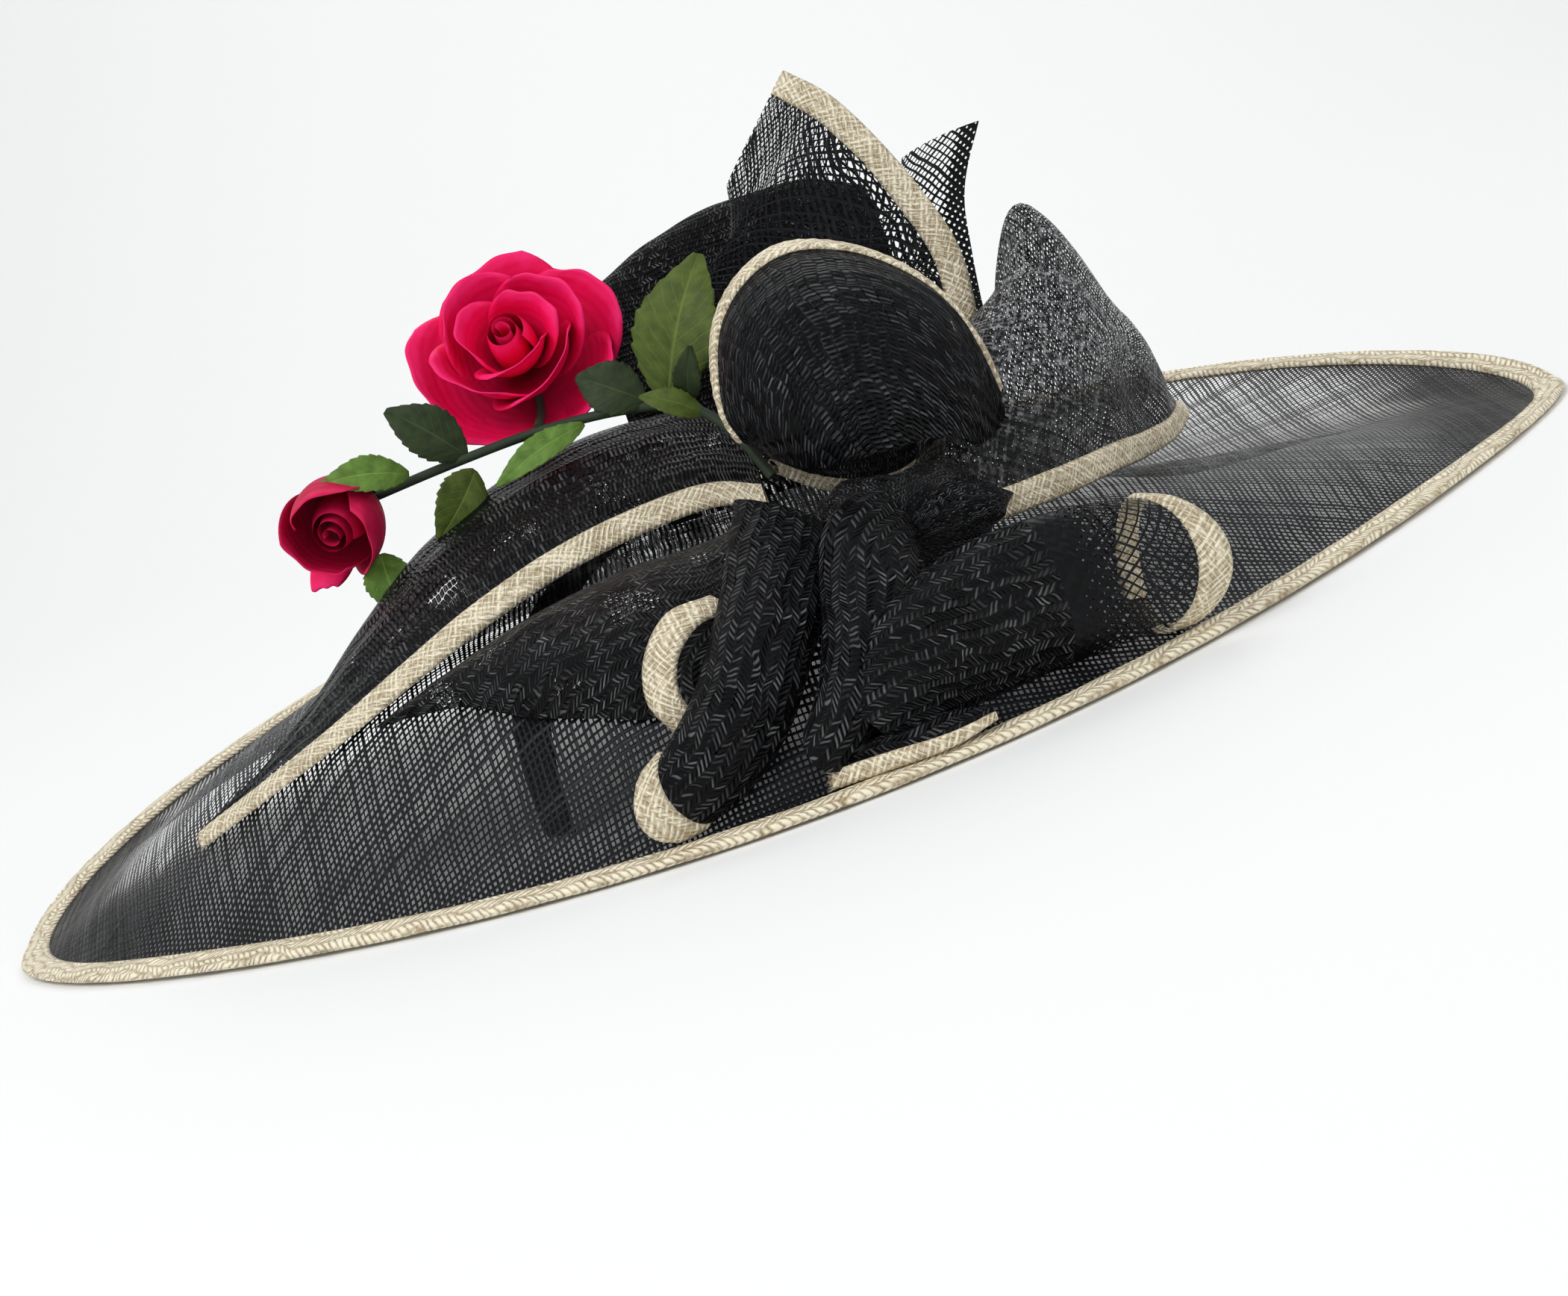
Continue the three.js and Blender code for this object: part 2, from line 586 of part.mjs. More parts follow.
// The headband arches from end to end under the brim and the crown.
function headbandWall(grow) {
  const steps = 20;
  const [endA, endB] = [new THREE.Vector2(...HEADBAND.endA), new THREE.Vector2(...HEADBAND.endB)];
  const middle = endA.clone().add(endB).multiplyScalar(0.5);
  const reach = endB.clone().sub(endA).multiplyScalar(0.5);
  const across = new THREE.Vector3(-reach.y, reach.x, 0).normalize();
  const power = 2 / HEADBAND.square;
  const grid = [];
  for (let i = 0; i <= steps; i++) {
    const angle = Math.PI * (i / steps);
    const side = -Math.sign(Math.cos(angle)) * Math.abs(Math.cos(angle)) ** power;
    const rise = Math.sin(angle) ** power;
    const centre = new THREE.Vector3(
      middle.x + reach.x * side, middle.y + reach.y * side,
      HEADBAND.foot + (HEADBAND.apex - HEADBAND.foot) * rise);
    const half = (HEADBAND.end + (HEADBAND.top - HEADBAND.end) * rise) / 2;
    grid.push([-1, 1].map((sign) => centre.clone().addScaledVector(across, sign * half)));
  }
  return wallOn(grid, HEADBAND.wall, grow);
}

// The gathered folds where the strips meet.
function knotBody(grow) {
  const ball = new THREE.SphereGeometry(1, 21, 8);
  const position = ball.getAttribute("position");
  for (let i = 0; i < position.count; i++) {
    const [x, y, z] = [position.getX(i), position.getY(i), position.getZ(i)];
    const fold = 1 + KNOT.foldDepth * Math.cos(KNOT.folds * Math.atan2(z, x)) * Math.hypot(x, z);
    position.setXYZ(i,
      KNOT.centre[0] + x * fold * (KNOT.half[0] + grow),
      KNOT.centre[1] + y * (KNOT.half[1] + grow),
      KNOT.centre[2] + z * fold * (KNOT.half[2] + grow));
  }
  return ball;
}

// The frame of a bloom: its third axis is where it faces.
function bloomFrame(bloom) {
  const facing = vector(bloom.facing).normalize();
  const right = new THREE.Vector3(0, 0, 1).cross(facing).negate().normalize();
  const up = facing.clone().cross(right).negate();
  const matrix = new THREE.Matrix4().makeBasis(right, up, facing);
  return matrix.setPosition(vector(bloom.centre));
}

function heartBody(bloom) {
  return (grow) => {
    const egg = new THREE.SphereGeometry(1, 8, 6);
    egg.scale(bloom.heart[0] + grow, bloom.heart[1] + grow, bloom.heart[2] + grow);
    return egg.applyMatrix4(bloomFrame(bloom));
  };
}

// One petal: from its root on the axis over its belly to its tip, wrapped round the bloom.
function petalWall(bloom, ring, number) {
  const lengthSteps = 4;
  const widthSteps = 4;
  const spiral = 2.2;
  const spread = 7;
  const curve = new THREE.QuadraticBezierCurve(
    new THREE.Vector2(...ring.root), new THREE.Vector2(...ring.belly), new THREE.Vector2(...ring.tip));
  const turn = radians(ring.turn) + (2 * Math.PI * number) / ring.count;
  const grid = [];
  for (let i = 0; i <= lengthSteps; i++) {
    const share = i / lengthSteps;
    const { x: radius, y: height } = curve.getPoint(share);
    const half = (ring.width / 2) * Math.sin(Math.PI * (0.1 + 0.78 * share)) ** 0.6;
    const row = [];
    for (let j = 0; j <= widthSteps; j++) {
      const side = (2 * j) / widthSteps - 1;
      const angle = turn + (side * half) / (radius + spread);
      const reach = radius + side * spiral * share;
      const droop = 2 * side * side * share;
      row.push(new THREE.Vector3(reach * Math.cos(angle), reach * Math.sin(angle), height - droop));
    }
    grid.push(row);
  }
  const frame = bloomFrame(bloom);
  grid.forEach((row) => row.forEach((point) => point.applyMatrix4(frame)));
  return (grow) => wallOn(grid, PETAL_WALL, grow);
}

function stalkBody(path, radius, steps) {
  return (grow) => {
    const sides = 6;
    const section = new THREE.Shape();
    for (let k = 0; k < sides; k++) {
      const angle = (2 * Math.PI * k) / sides;
      const corner = [(radius + grow) * Math.cos(angle), (radius + grow) * Math.sin(angle)];
      if (k === 0) section.moveTo(...corner);
      else section.lineTo(...corner);
    }
    const extrudePath = new THREE.CatmullRomCurve3(path.map(vector));
    return new THREE.ExtrudeGeometry(section, { steps, extrudePath, bevelEnabled: false });
  };
}

// A leaf with a folded midrib, its face towards the viewer, turned by roll about its length.
function leafWall(leaf) {
  const steps = 5;
  const fold = 0.18;
  const [base, tip] = [vector(leaf.base), vector(leaf.tip)];
  const length = tip.clone().sub(base);
  const front = new THREE.Vector3(0, -1, 0);
  const across = length.clone().cross(front).normalize();
  across.applyAxisAngle(length.clone().normalize(), radians(leaf.roll));
  const face = across.clone().cross(length).normalize();
  const grid = [];
  for (let i = 0; i <= steps; i++) {
    const share = i / steps;
    const half = Math.max(0.9, (leaf.width / 2) * Math.sin(Math.PI * (0.04 + 0.92 * share ** 0.85)));
    const rise = leaf.arch * Math.sin(Math.PI * share);
    const spine = base.clone().lerp(tip, share).addScaledVector(face, rise);
    grid.push([-1, 0, 1].map((side) => spine.clone()
      .addScaledVector(across, side * half)
      .addScaledVector(face, Math.abs(side) * half * fold)));
  }
  return (grow) => wallOn(grid, LEAF_WALL, grow);
}

// Every piece in the order in which it gives way: each is cut clear of those before it.
const pieces = [];
const add = (name, finish, shape) => pieces.push({ name, finish, shape });
const fits = (name, other) => name === "brim_binding" && other === "brim";

add("brim", "sinamay", brimWall);
add("brim_binding", "binding", brimBindingWall);
add("crown", "sinamay", crownWall);
add("headband", "sinamay", headbandWall);
add("hood_loop", "sinamay", stripBody(HOOD_LOOP, { along: 11, across: 5, bound: true }));
add("hood_loop_binding", "binding", stripBinding(HOOD_LOOP, { along: 11 }));
add("knot", "sinamay", knotBody);
add("roll_left", "sinamay", rollBody(ROLL_LEFT, { along: 6, around: 8, bound: true }));
add("roll_left_binding", "binding", rollBinding(ROLL_LEFT, { around: 8 }));
add("fold_middle", "sinamay", rollBody(FOLD_MIDDLE, { along: 5, around: 8, bound: false }));
add("trumpet_right", "sinamay", rollBody(TRUMPET_RIGHT, { along: 6, around: 10, bound: true }));
add("trumpet_right_binding", "binding", rollBinding(TRUMPET_RIGHT, { around: 10 }));
add("hood_inner", "sinamay", stripBody(HOOD_INNER, { along: 9, across: 5, bound: true }));
add("hood_inner_binding", "binding", stripBinding(HOOD_INNER, { along: 9 }));
add("tail_front", "sinamay", stripBody(TAIL_FRONT, { along: 5, across: 1, bound: true }));
add("tail_front_binding", "binding", stripBinding(TAIL_FRONT, { along: 5 }));
add("curl_left", "sinamay", stripBody(CURL_LEFT, { along: 7, across: 3, bound: true }));
add("curl_left_binding", "binding", stripBinding(CURL_LEFT, { along: 7 }));
add("swag_leaf", "sinamay", stripBody(SWAG_LEAF, { along: 11, across: 5, bound: true }));
add("swag_leaf_binding", "binding", stripBinding(SWAG_LEAF, { along: 11 }));
add("swag_roll", "sinamay", stripBody(SWAG_ROLL, { along: 9, across: 4, bound: false }));
add("tall_loop", "sinamay", stripBody(TALL_LOOP, { along: 8, across: 8, bound: true }));
add("tall_loop_binding", "binding", stripBinding(TALL_LOOP, { along: 8 }));
add("right_loop", "sinamay", stripBody(RIGHT_LOOP, { along: 10, across: 8, bound: true }));
add("right_loop_binding", "binding", stripBinding(RIGHT_LOOP, { along: 10 }));
add("back_arch", "sinamay", stripBody(BACK_ARCH, { along: 6, across: 7, bound: false }));
add("fin", "sinamay", stripBody(FIN, { along: 6, across: 3, bound: false }));
add("stem", "stem", stalkBody(STEM_PATH, STEM_RADIUS, 12));
add("rose_heart", "petal", heartBody(ROSE));
add("bud_heart", "petalDark", heartBody(BUD));
const BLOOMS = [
  [ROSE, ROSE_RINGS, "petal"],
  [BUD, BUD_RINGS, "petalDark"],
  [BUD, BUD_FALLEN, "petal"],
];
for (const [bloom, rings, finish] of BLOOMS) {
  for (const ring of rings) {
    for (let number = 0; number < ring.count; number++) {
      add(`${ring.name}_${number + 1}`, finish, petalWall(bloom, ring, number));
    }
  }
}
add("rose_stalk", "stem", stalkBody(STALK_PATH, STEM_RADIUS, 6));
LEAVES.forEach((leaf, k) => add(leaf.name, k % 3 === 1 ? "leafLight" : "leaf", leafWall(leaf)));

// Whether two boxes stand further apart than a margin.
function boxesApart(box, other, margin = 1) {
  return [0, 1, 2].some((k) => box.min[k] > other.max[k] + margin || box.max[k] < other.min[k] - margin);
}

// Cuts each piece clear of the earlier ones that it reaches, and keeps its largest body.
function assemble() {
  const placed = [];
  const group = new THREE.Group();
  for (const { name, finish, shape } of pieces) {
    let solid = solidOf(shape(0));
    const box = solid.boundingBox();
    for (const other of placed) {
      if (boxesApart(box, other.box) || fits(name, other.name)) continue;
      solid = solid.subtract(other.grown).subtract(other.solid);
    }
    const bodies = solid.decompose().sort((a, b) => b.volume() - a.volume());
    solid = bodies[0];
    placed.push({ name, solid, box: solid.boundingBox(), grown: solidOf(shape(CLEARANCE)) });
    const mesh = new THREE.Mesh(geometryOf(solid), new THREE.MeshStandardMaterial(FINISH[finish]));
    mesh.name = name;
    group.add(mesh);
  }
  return group;
}

export default assemble();
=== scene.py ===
"""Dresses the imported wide-brim sinamay hat: open weave, folded bindings, rolled strips and a rose spray."""

import logging
import math
from dataclasses import dataclass, field
from enum import Enum
from typing import Callable, ClassVar, Iterable

import bpy
import numpy as np
from mathutils import Matrix, Vector


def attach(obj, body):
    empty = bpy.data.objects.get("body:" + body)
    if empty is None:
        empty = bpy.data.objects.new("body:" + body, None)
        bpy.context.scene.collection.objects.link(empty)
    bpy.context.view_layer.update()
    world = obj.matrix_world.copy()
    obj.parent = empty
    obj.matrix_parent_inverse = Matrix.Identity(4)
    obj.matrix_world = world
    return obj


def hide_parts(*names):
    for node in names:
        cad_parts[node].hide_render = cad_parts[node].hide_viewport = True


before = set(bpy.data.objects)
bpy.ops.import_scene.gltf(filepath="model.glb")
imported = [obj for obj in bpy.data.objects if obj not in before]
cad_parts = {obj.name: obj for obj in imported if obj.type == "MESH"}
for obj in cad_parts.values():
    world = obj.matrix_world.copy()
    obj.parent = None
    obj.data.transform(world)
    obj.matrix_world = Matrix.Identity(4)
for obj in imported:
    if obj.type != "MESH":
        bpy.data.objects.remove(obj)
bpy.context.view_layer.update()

LOG = logging.getLogger("hat")
MM = 0.001
CLOTH_UNIT_MM = 100.0
CLOTH_WALL_MM = 0.35
SMALL = 1e-9
FULL_TURN = 2 * math.pi
ROOT_BODY = "root"
IMAGE_WIDTH_PX = 2101
SENSOR_MM = 36.0
Point = tuple[float, float, float]
Colour = tuple[float, float, float]
Row = tuple[Point, Point, float]
Ring = tuple[Point, tuple[float, float]]


class Slot(Enum):
    """The record's material slots."""

    SINAMAY = "black_sinamay"
    BINDING = "cream_binding"
    HEADBAND = "headband_fabric"
    ROSE = "rose_petal"
    BUD = "bud_petal"
    LEAF = "leaf_fabric"
    STEM = "stem_wrap"


class Held(Enum):
    """How a sheet of cloth is held in its place."""

    STRETCHED = "stretched"
    FOLDED = "folded"
    GATHERED = "gathered"


# Lines and surfaces

def spline(points: np.ndarray, shares: np.ndarray) -> np.ndarray:
    """Points of a centripetal Catmull-Rom line, evenly spread over its own control points.

    Args:
        points: control points, one per row.
        shares: places along the line, 0 at its start and 1 at its end.

    Returns:
        One point per share.
    """
    points = np.asarray(points, float)
    count = len(points)
    before, after = 2 * points[0] - points[1], 2 * points[-1] - points[-2]
    padded = np.vstack([before, points, after])
    found = []
    for share in shares:
        place = share * (count - 1)
        k = min(int(place), count - 2)
        t = place - k
        p = padded[k:k + 4]
        a, b, c = (max(np.linalg.norm(p[i + 1] - p[i]) ** 0.5, 1e-4) for i in range(3))
        start = ((p[1] - p[0]) / a - (p[2] - p[0]) / (a + b) + (p[2] - p[1]) / b) * b
        end = ((p[2] - p[1]) / b - (p[3] - p[1]) / (b + c) + (p[3] - p[2]) / c) * b
        cube = 2 * p[1] - 2 * p[2] + start + end
        square = -3 * p[1] + 3 * p[2] - 2 * start - end
        found.append(cube * t ** 3 + square * t ** 2 + start * t + p[1])
    return np.array(found)


def eased(ends: tuple[float, float], slopes: tuple[float, float], t: float) -> float:
    """A value on the smooth curve between two values with given slopes, t running from 0 to 1."""
    square, cube = t ** 2, t ** 3
    return (ends[0] * (2 * cube - 3 * square + 1) + slopes[0] * (cube - 2 * square + t)
            + ends[1] * (3 * square - 2 * cube) + slopes[1] * (cube - square))


def unit(vectors: np.ndarray) -> np.ndarray:
    """The same directions with length 1."""
    return vectors / np.maximum(np.linalg.norm(vectors, axis=-1, keepdims=True), SMALL)


def tangents(line: np.ndarray) -> np.ndarray:
    """Unit directions along the first axis of an array of points."""
    return unit(np.gradient(line, axis=0))


def normals(grid: np.ndarray) -> np.ndarray:
    """Unit normals of a grid of points."""
    return unit(np.cross(tangents(grid), np.gradient(grid, axis=1)))


def arc(line: np.ndarray) -> np.ndarray:
    """Distances along a line of points from its first one."""
    return np.concatenate([[0.0], np.cumsum(np.linalg.norm(np.diff(line, axis=0), axis=1))])


def respaced(line: np.ndarray, distances: np.ndarray) -> np.ndarray:
    """Points of a line at the given distances from its start."""
    reach = arc(line)
    return np.stack([np.interp(distances, reach, line[:, k]) for k in range(3)], axis=1)


def respace_rows(grid: np.ndarray, step: float) -> np.ndarray:
    """Rows of a grid again, evenly spaced along its first column.

    Args:
        grid: points in millimetres.
        step: largest distance between rows.

    Returns:
        The new grid.
    """
    reach = arc(grid[:, 0])
    places = np.linspace(0, reach[-1], max(8, int(reach[-1] / step) + 1))
    columns = [np.stack([np.interp(places, reach, grid[:, j, k]) for k in range(3)], 1)
               for j in range(grid.shape[1])]
    return np.stack(columns, axis=1)


def ripple(grid: np.ndarray, height: float, waves: tuple[float, float], seed: int) -> np.ndarray:
    """Moves a grid along its normals in soft uneven waves.

    Args:
        grid: points in millimetres.
        height: largest move in millimetres.
        waves: waves over the grid's length and over its width.
        seed: fixes the waves' phases.

    Returns:
        The moved grid.
    """
    rng = np.random.default_rng(seed)
    u = np.linspace(0, 1, grid.shape[0])[:, None]
    v = np.linspace(0, 1, grid.shape[1])[None, :]
    move = np.zeros(grid.shape[:2])
    for k, share in enumerate((0.5, 0.3, 0.2), start=1):
        a, b, c = rng.uniform(0, FULL_TURN, 3)
        bend = 0.6 * np.sin(FULL_TURN * u + c)
        along = np.sin(FULL_TURN * waves[0] * k * u + a + bend)
        move += share * along * np.cos(FULL_TURN * waves[1] * k * v + b)
    return grid + normals(grid) * (move * height)[..., None]


# Meshes

def link(name: str, data: bpy.types.ID) -> bpy.types.Object:
    """Puts an object with the given data into the scene."""
    piece = bpy.data.objects.new(name, data)
    bpy.context.scene.collection.objects.link(piece)
    return piece


def mesh_piece(name: str, points: np.ndarray, faces: list, uv: np.ndarray | None = None) -> bpy.types.Object:
    """Makes a smooth mesh object in metres from points in millimetres.

    Args:
        name: the piece's name.
        points: points in millimetres, one per row.
        faces: lists of point numbers.
        uv: a place in millimetres on the flat cloth for each point, if the pattern follows it.

    Returns:
        The new object.
    """
    mesh = bpy.data.meshes.new(name)
    mesh.from_pydata((np.asarray(points) * MM).tolist(), [], faces)
    if uv is not None:
        layer = mesh.uv_layers.new(name="cloth")
        corners = np.zeros(len(mesh.loops), np.int32)
        mesh.loops.foreach_get("vertex_index", corners)
        layer.data.foreach_set("uv", (np.asarray(uv)[corners] / CLOTH_UNIT_MM).astype(np.float32).ravel())
    mesh.polygons.foreach_set("use_smooth", [True] * len(mesh.polygons))
    mesh.update()
    return link(name, mesh)


def grid_piece(name: str, grid: np.ndarray, uv: np.ndarray | None = None) -> bpy.types.Object:
    """Makes a mesh object of quads from a grid of points.

    Args:
        name: the piece's name.
        grid: points in millimetres, row after row.
        uv: places on the flat cloth in millimetres; without them they follow the grid's own lengths.

    Returns:
        The new object.
    """
    rows, columns = grid.shape[:2]
    corners = [i * columns + j for i in range(rows - 1) for j in range(columns - 1)]
    faces = [(here, here + 1, here + columns + 1, here + columns) for here in corners]
    return mesh_piece(name, grid.reshape(-1, 3), faces, grid_uv(grid) if uv is None else uv)


def grid_uv(grid: np.ndarray) -> np.ndarray:
    """Places on the flat cloth for a grid: along its middle line, and across each row."""
    along = arc(grid[:, grid.shape[1] // 2])
    return np.array([(along[i], place) for i in range(len(grid)) for place in arc(grid[i])])


def set_attribute(piece: bpy.types.Object, name: str, values: np.ndarray) -> None:
    """Stores one number per point under a name."""
    layer = piece.data.attributes.new(name, "FLOAT", "POINT")
    layer.data.foreach_set("value", np.asarray(values, np.float32).ravel())


def solidify(piece: bpy.types.Object, thickness: float) -> None:
    """Gives a sheet an even thickness in millimetres, and keeps it as plain mesh."""
    change = piece.modifiers.new("wall", "SOLIDIFY")
    change.thickness = thickness * MM
    change.offset = 0
    apply_modifiers(piece)


def apply_modifiers(piece: bpy.types.Object) -> None:
    """Turns a piece with modifiers into a plain mesh."""
    bpy.context.view_layer.update()
    made = bpy.data.meshes.new_from_object(piece.evaluated_get(bpy.context.evaluated_depsgraph_get()))
    old = piece.data
    piece.modifiers.clear()
    piece.data = made
    made.name = piece.name
    bpy.data.meshes.remove(old)


# Node trees

class Tree:
    """A node tree under construction, with short ways of adding to it."""

    def __init__(self, tree: bpy.types.NodeTree) -> None:
        """Keeps the tree that takes the nodes."""
        self.tree = tree

    def sockets(self, way: str, kind: str, names: Iterable[str]) -> None:
        """Adds named sockets to the tree's interface.

        Args:
            way: INPUT or OUTPUT.
            kind: Float, Int, Vector, Material or Geometry.
            names: their names; a dictionary holds their first values too.
        """
        for name in names:
            made = self.tree.interface.new_socket(name, in_out=way, socket_type=f"NodeSocket{kind}")
            if isinstance(names, dict):
                made.default_value = names[name]

    def node(self, kind: str, feeds: dict | None = None, **settings: object) -> bpy.types.Node:
        """Adds a node.

        Args:
            kind: its type.
            feeds: numbers or sockets for its inputs, by name or place.
            settings: its own properties.

        Returns:
            The new node.
        """
        made = self.tree.nodes.new(kind)
        for name, value in settings.items():
            setattr(made, name, value)
        for key, value in (feeds or {}).items():
            self.feed(made.inputs[key], value)
        return made

    def feed(self, socket: bpy.types.NodeSocket, value: object) -> None:
        """Links a socket into an input, or sets its constant."""
        if isinstance(value, bpy.types.NodeSocket):
            self.tree.links.new(value, socket)
        else:
            socket.default_value = value

    def math(self, kind: str, *values: object) -> bpy.types.NodeSocket:
        """One Math node on numbers or sockets."""
        return self.node("ShaderNodeMath", dict(enumerate(values)), operation=kind).outputs[0]

    def times(self, *values: object) -> bpy.types.NodeSocket:
        """The product of two values, with the third one added where there is one."""
        return self.math("MULTIPLY" if len(values) == 2 else "MULTIPLY_ADD", *values)


class PieceTree(Tree):
    """A geometry node tree that remakes one piece; the classes below say what they make."""

    label: ClassVar[str] = ""
    floats: ClassVar[tuple[str, ...]] = ()
    integers: ClassVar[tuple[str, ...]] = ()

    def __init__(self) -> None:
        """Builds the tree once: its sockets, its shape, then real geometry with a material."""
        super().__init__(bpy.data.node_groups.new(self.label, "GeometryNodeTree"))
        for kind, names in (("Geometry", ("Geometry",)), ("Float", self.floats), ("Int", self.integers),
                            ("Material", ("Material",))):
            self.sockets("INPUT", kind, names)
        self.sockets("OUTPUT", "Geometry", ("Geometry",))
        given = self.node("NodeGroupInput").outputs
        real = self.node("GeometryNodeRealizeInstances", {0: self.shape(given)})
        painted = {"Geometry": real.outputs[0], "Material": given["Material"]}
        paint = self.node("GeometryNodeSetMaterial", painted)
        self.node("NodeGroupOutput", {0: paint.outputs[0]})

    def shape(self, given: bpy.types.NodeOutputs) -> bpy.types.NodeSocket:
        """Adds the nodes that make the shape, and gives its socket."""
        return given["Geometry"]

    def attribute(self, name: str, kind: str = "FLOAT") -> bpy.types.NodeSocket:
        """Reads a value that the piece's points carry."""
        reader = self.node("GeometryNodeInputNamedAttribute", {"Name": name}, data_type=kind)
        return reader.outputs["Attribute"]

    def run(self, piece: bpy.types.Object, values: dict[str, object]) -> None:
        """Runs the tree on a piece and keeps the result as plain mesh.

        Args:
            piece: the mesh object that it changes.
            values: input names to values.
        """
        change = piece.modifiers.new(self.label, "NODES")
        change.node_group = self.tree
        for item in self.tree.interface.items_tree:
            if item.in_out == "INPUT" and item.name in values:
                change[item.identifier] = values[item.name]
        apply_modifiers(piece)


class FoldedBand(PieceTree):
    """Folds an open band of faces into a closed strip with rounded edges and sewn puckers."""

    label = "folded_band"
    floats = ("Half Thickness", "Pucker", "Pucker Spacing")

    def shape(self, given: bpy.types.NodeOutputs) -> bpy.types.NodeSocket:
        """Sets the band's faces off to both sides, and closes them along their edges."""
        centred = self.times(self.attribute("across"), 2.0, -1.0)
        flattened = self.math("POWER", self.math("ABSOLUTE", centred), 5.0)
        rounded = self.math("SQRT", self.math("SUBTRACT", 1.0, flattened))
        turns = self.math("DIVIDE", self.times(self.attribute("along"), FULL_TURN), given["Pucker Spacing"])
        pucker = self.times(self.math("SINE", turns), given["Pucker"])
        lift = self.times(rounded, self.math("ADD", given["Half Thickness"], pucker))
        normal = self.node("GeometryNodeInputNormal").outputs[0]
        sides = []
        for sign in (1.0, -1.0):
            height = self.times(lift, sign)
            offset = self.node("ShaderNodeVectorMath", {0: normal, "Scale": height}, operation="SCALE")
            move = {"Geometry": given["Geometry"], "Offset": offset.outputs[0]}
            sides.append(self.node("GeometryNodeSetPosition", move).outputs[0])
        flip = self.node("GeometryNodeFlipFaces", {0: sides[1]})
        join = self.node("GeometryNodeJoinGeometry", {0: sides[0]})
        self.feed(join.inputs[0], flip.outputs[0])
        closed = {"Geometry": join.outputs[0], "Distance": 2e-5}
        return self.node("GeometryNodeMergeByDistance", closed).outputs[0]


class FrayedEnd(PieceTree):
    """Sets short straw fibres on the points of a mesh, each turned to the point's outward direction."""

    label = "frayed_end"
    floats = ("Length", "Radius")
    integers = ("Seed",)

    def shape(self, given: bpy.types.NodeOutputs) -> bpy.types.NodeSocket:
        """Instances thin cones of uneven size and lean on the points."""
        fibre = self.node("GeometryNodeMeshCone", {
            "Vertices": 5, "Side Segments": 2, "Radius Bottom": given["Radius"], "Depth": given["Length"]})
        lean = self.node("FunctionNodeRandomValue", {
            0: (-0.5, -0.5, -0.5), 1: (0.5, 0.5, 0.5), "Seed": given["Seed"]}, data_type="FLOAT_VECTOR")
        outward = self.attribute("outward", "FLOAT_VECTOR")
        swing = self.node("ShaderNodeVectorMath", {0: outward, 1: lean.outputs[0]})
        turn = self.node("FunctionNodeAlignRotationToVector", {"Vector": swing.outputs[0]}, axis="Z")
        size = self.node("FunctionNodeRandomValue", {2: 0.45, 3: 1.0, "Seed": given["Seed"]},
                         data_type="FLOAT")
        return self.node("GeometryNodeInstanceOnPoints", {
            "Points": given["Geometry"], "Instance": fibre.outputs["Mesh"], "Rotation": turn.outputs[0],
            "Scale": size.outputs[1]}).outputs[0]

    def grow(self, name: str, edge: np.ndarray, outward: np.ndarray, length: float,
             material: bpy.types.Material) -> bpy.types.Object:
        """Sets fibres along a cut edge.

        Args:
            name: the new piece's name.
            edge: points of the edge in millimetres.
            outward: the way that the fibres stand.
            length: longest fibre in millimetres.
            material: what they are painted with.

        Returns:
            The piece of loose fibres.
        """
        roots = np.concatenate([edge + outward * shift for shift in (-0.8, -0.3)])
        piece = mesh_piece(name, roots, [])
        layer = piece.data.attributes.new("outward", "FLOAT_VECTOR", "POINT")
        layer.data.foreach_set("vector", np.tile(outward, (len(roots), 1)).astype(np.float32).ravel())
        self.run(piece, {"Length": length * MM, "Radius": 0.16 * MM, "Seed": 11, "Material": material})
        return piece


class RoundStem(PieceTree):
    """Sweeps a round section along a line of mesh edges, uneven along its length."""

    label = "round_stem"
    floats = ("Radius", "Joint Size")

    def shape(self, given: bpy.types.NodeOutputs) -> bpy.types.NodeSocket:
        """Sweeps a circle along the line, wider and narrower with a noise."""
        line = self.node("GeometryNodeMeshToCurve", {"Mesh": given["Geometry"]})
        circle = self.node("GeometryNodeCurvePrimitiveCircle", {"Resolution": 10, "Radius": given["Radius"]})
        noise = self.node("ShaderNodeTexNoise", {"Scale": 120.0})
        swell = self.times(noise.outputs[0], given["Joint Size"], 0.8)
        uneven = self.node("GeometryNodeSetCurveRadius", {"Curve": line.outputs[0], "Radius": swell})
        sweep = self.node("GeometryNodeCurveToMesh", {
            "Curve": uneven.outputs[0], "Profile Curve": circle.outputs["Curve"], "Fill Caps": True})
        return self.node("GeometryNodeSetShadeSmooth", {0: sweep.outputs[0]}).outputs[0]


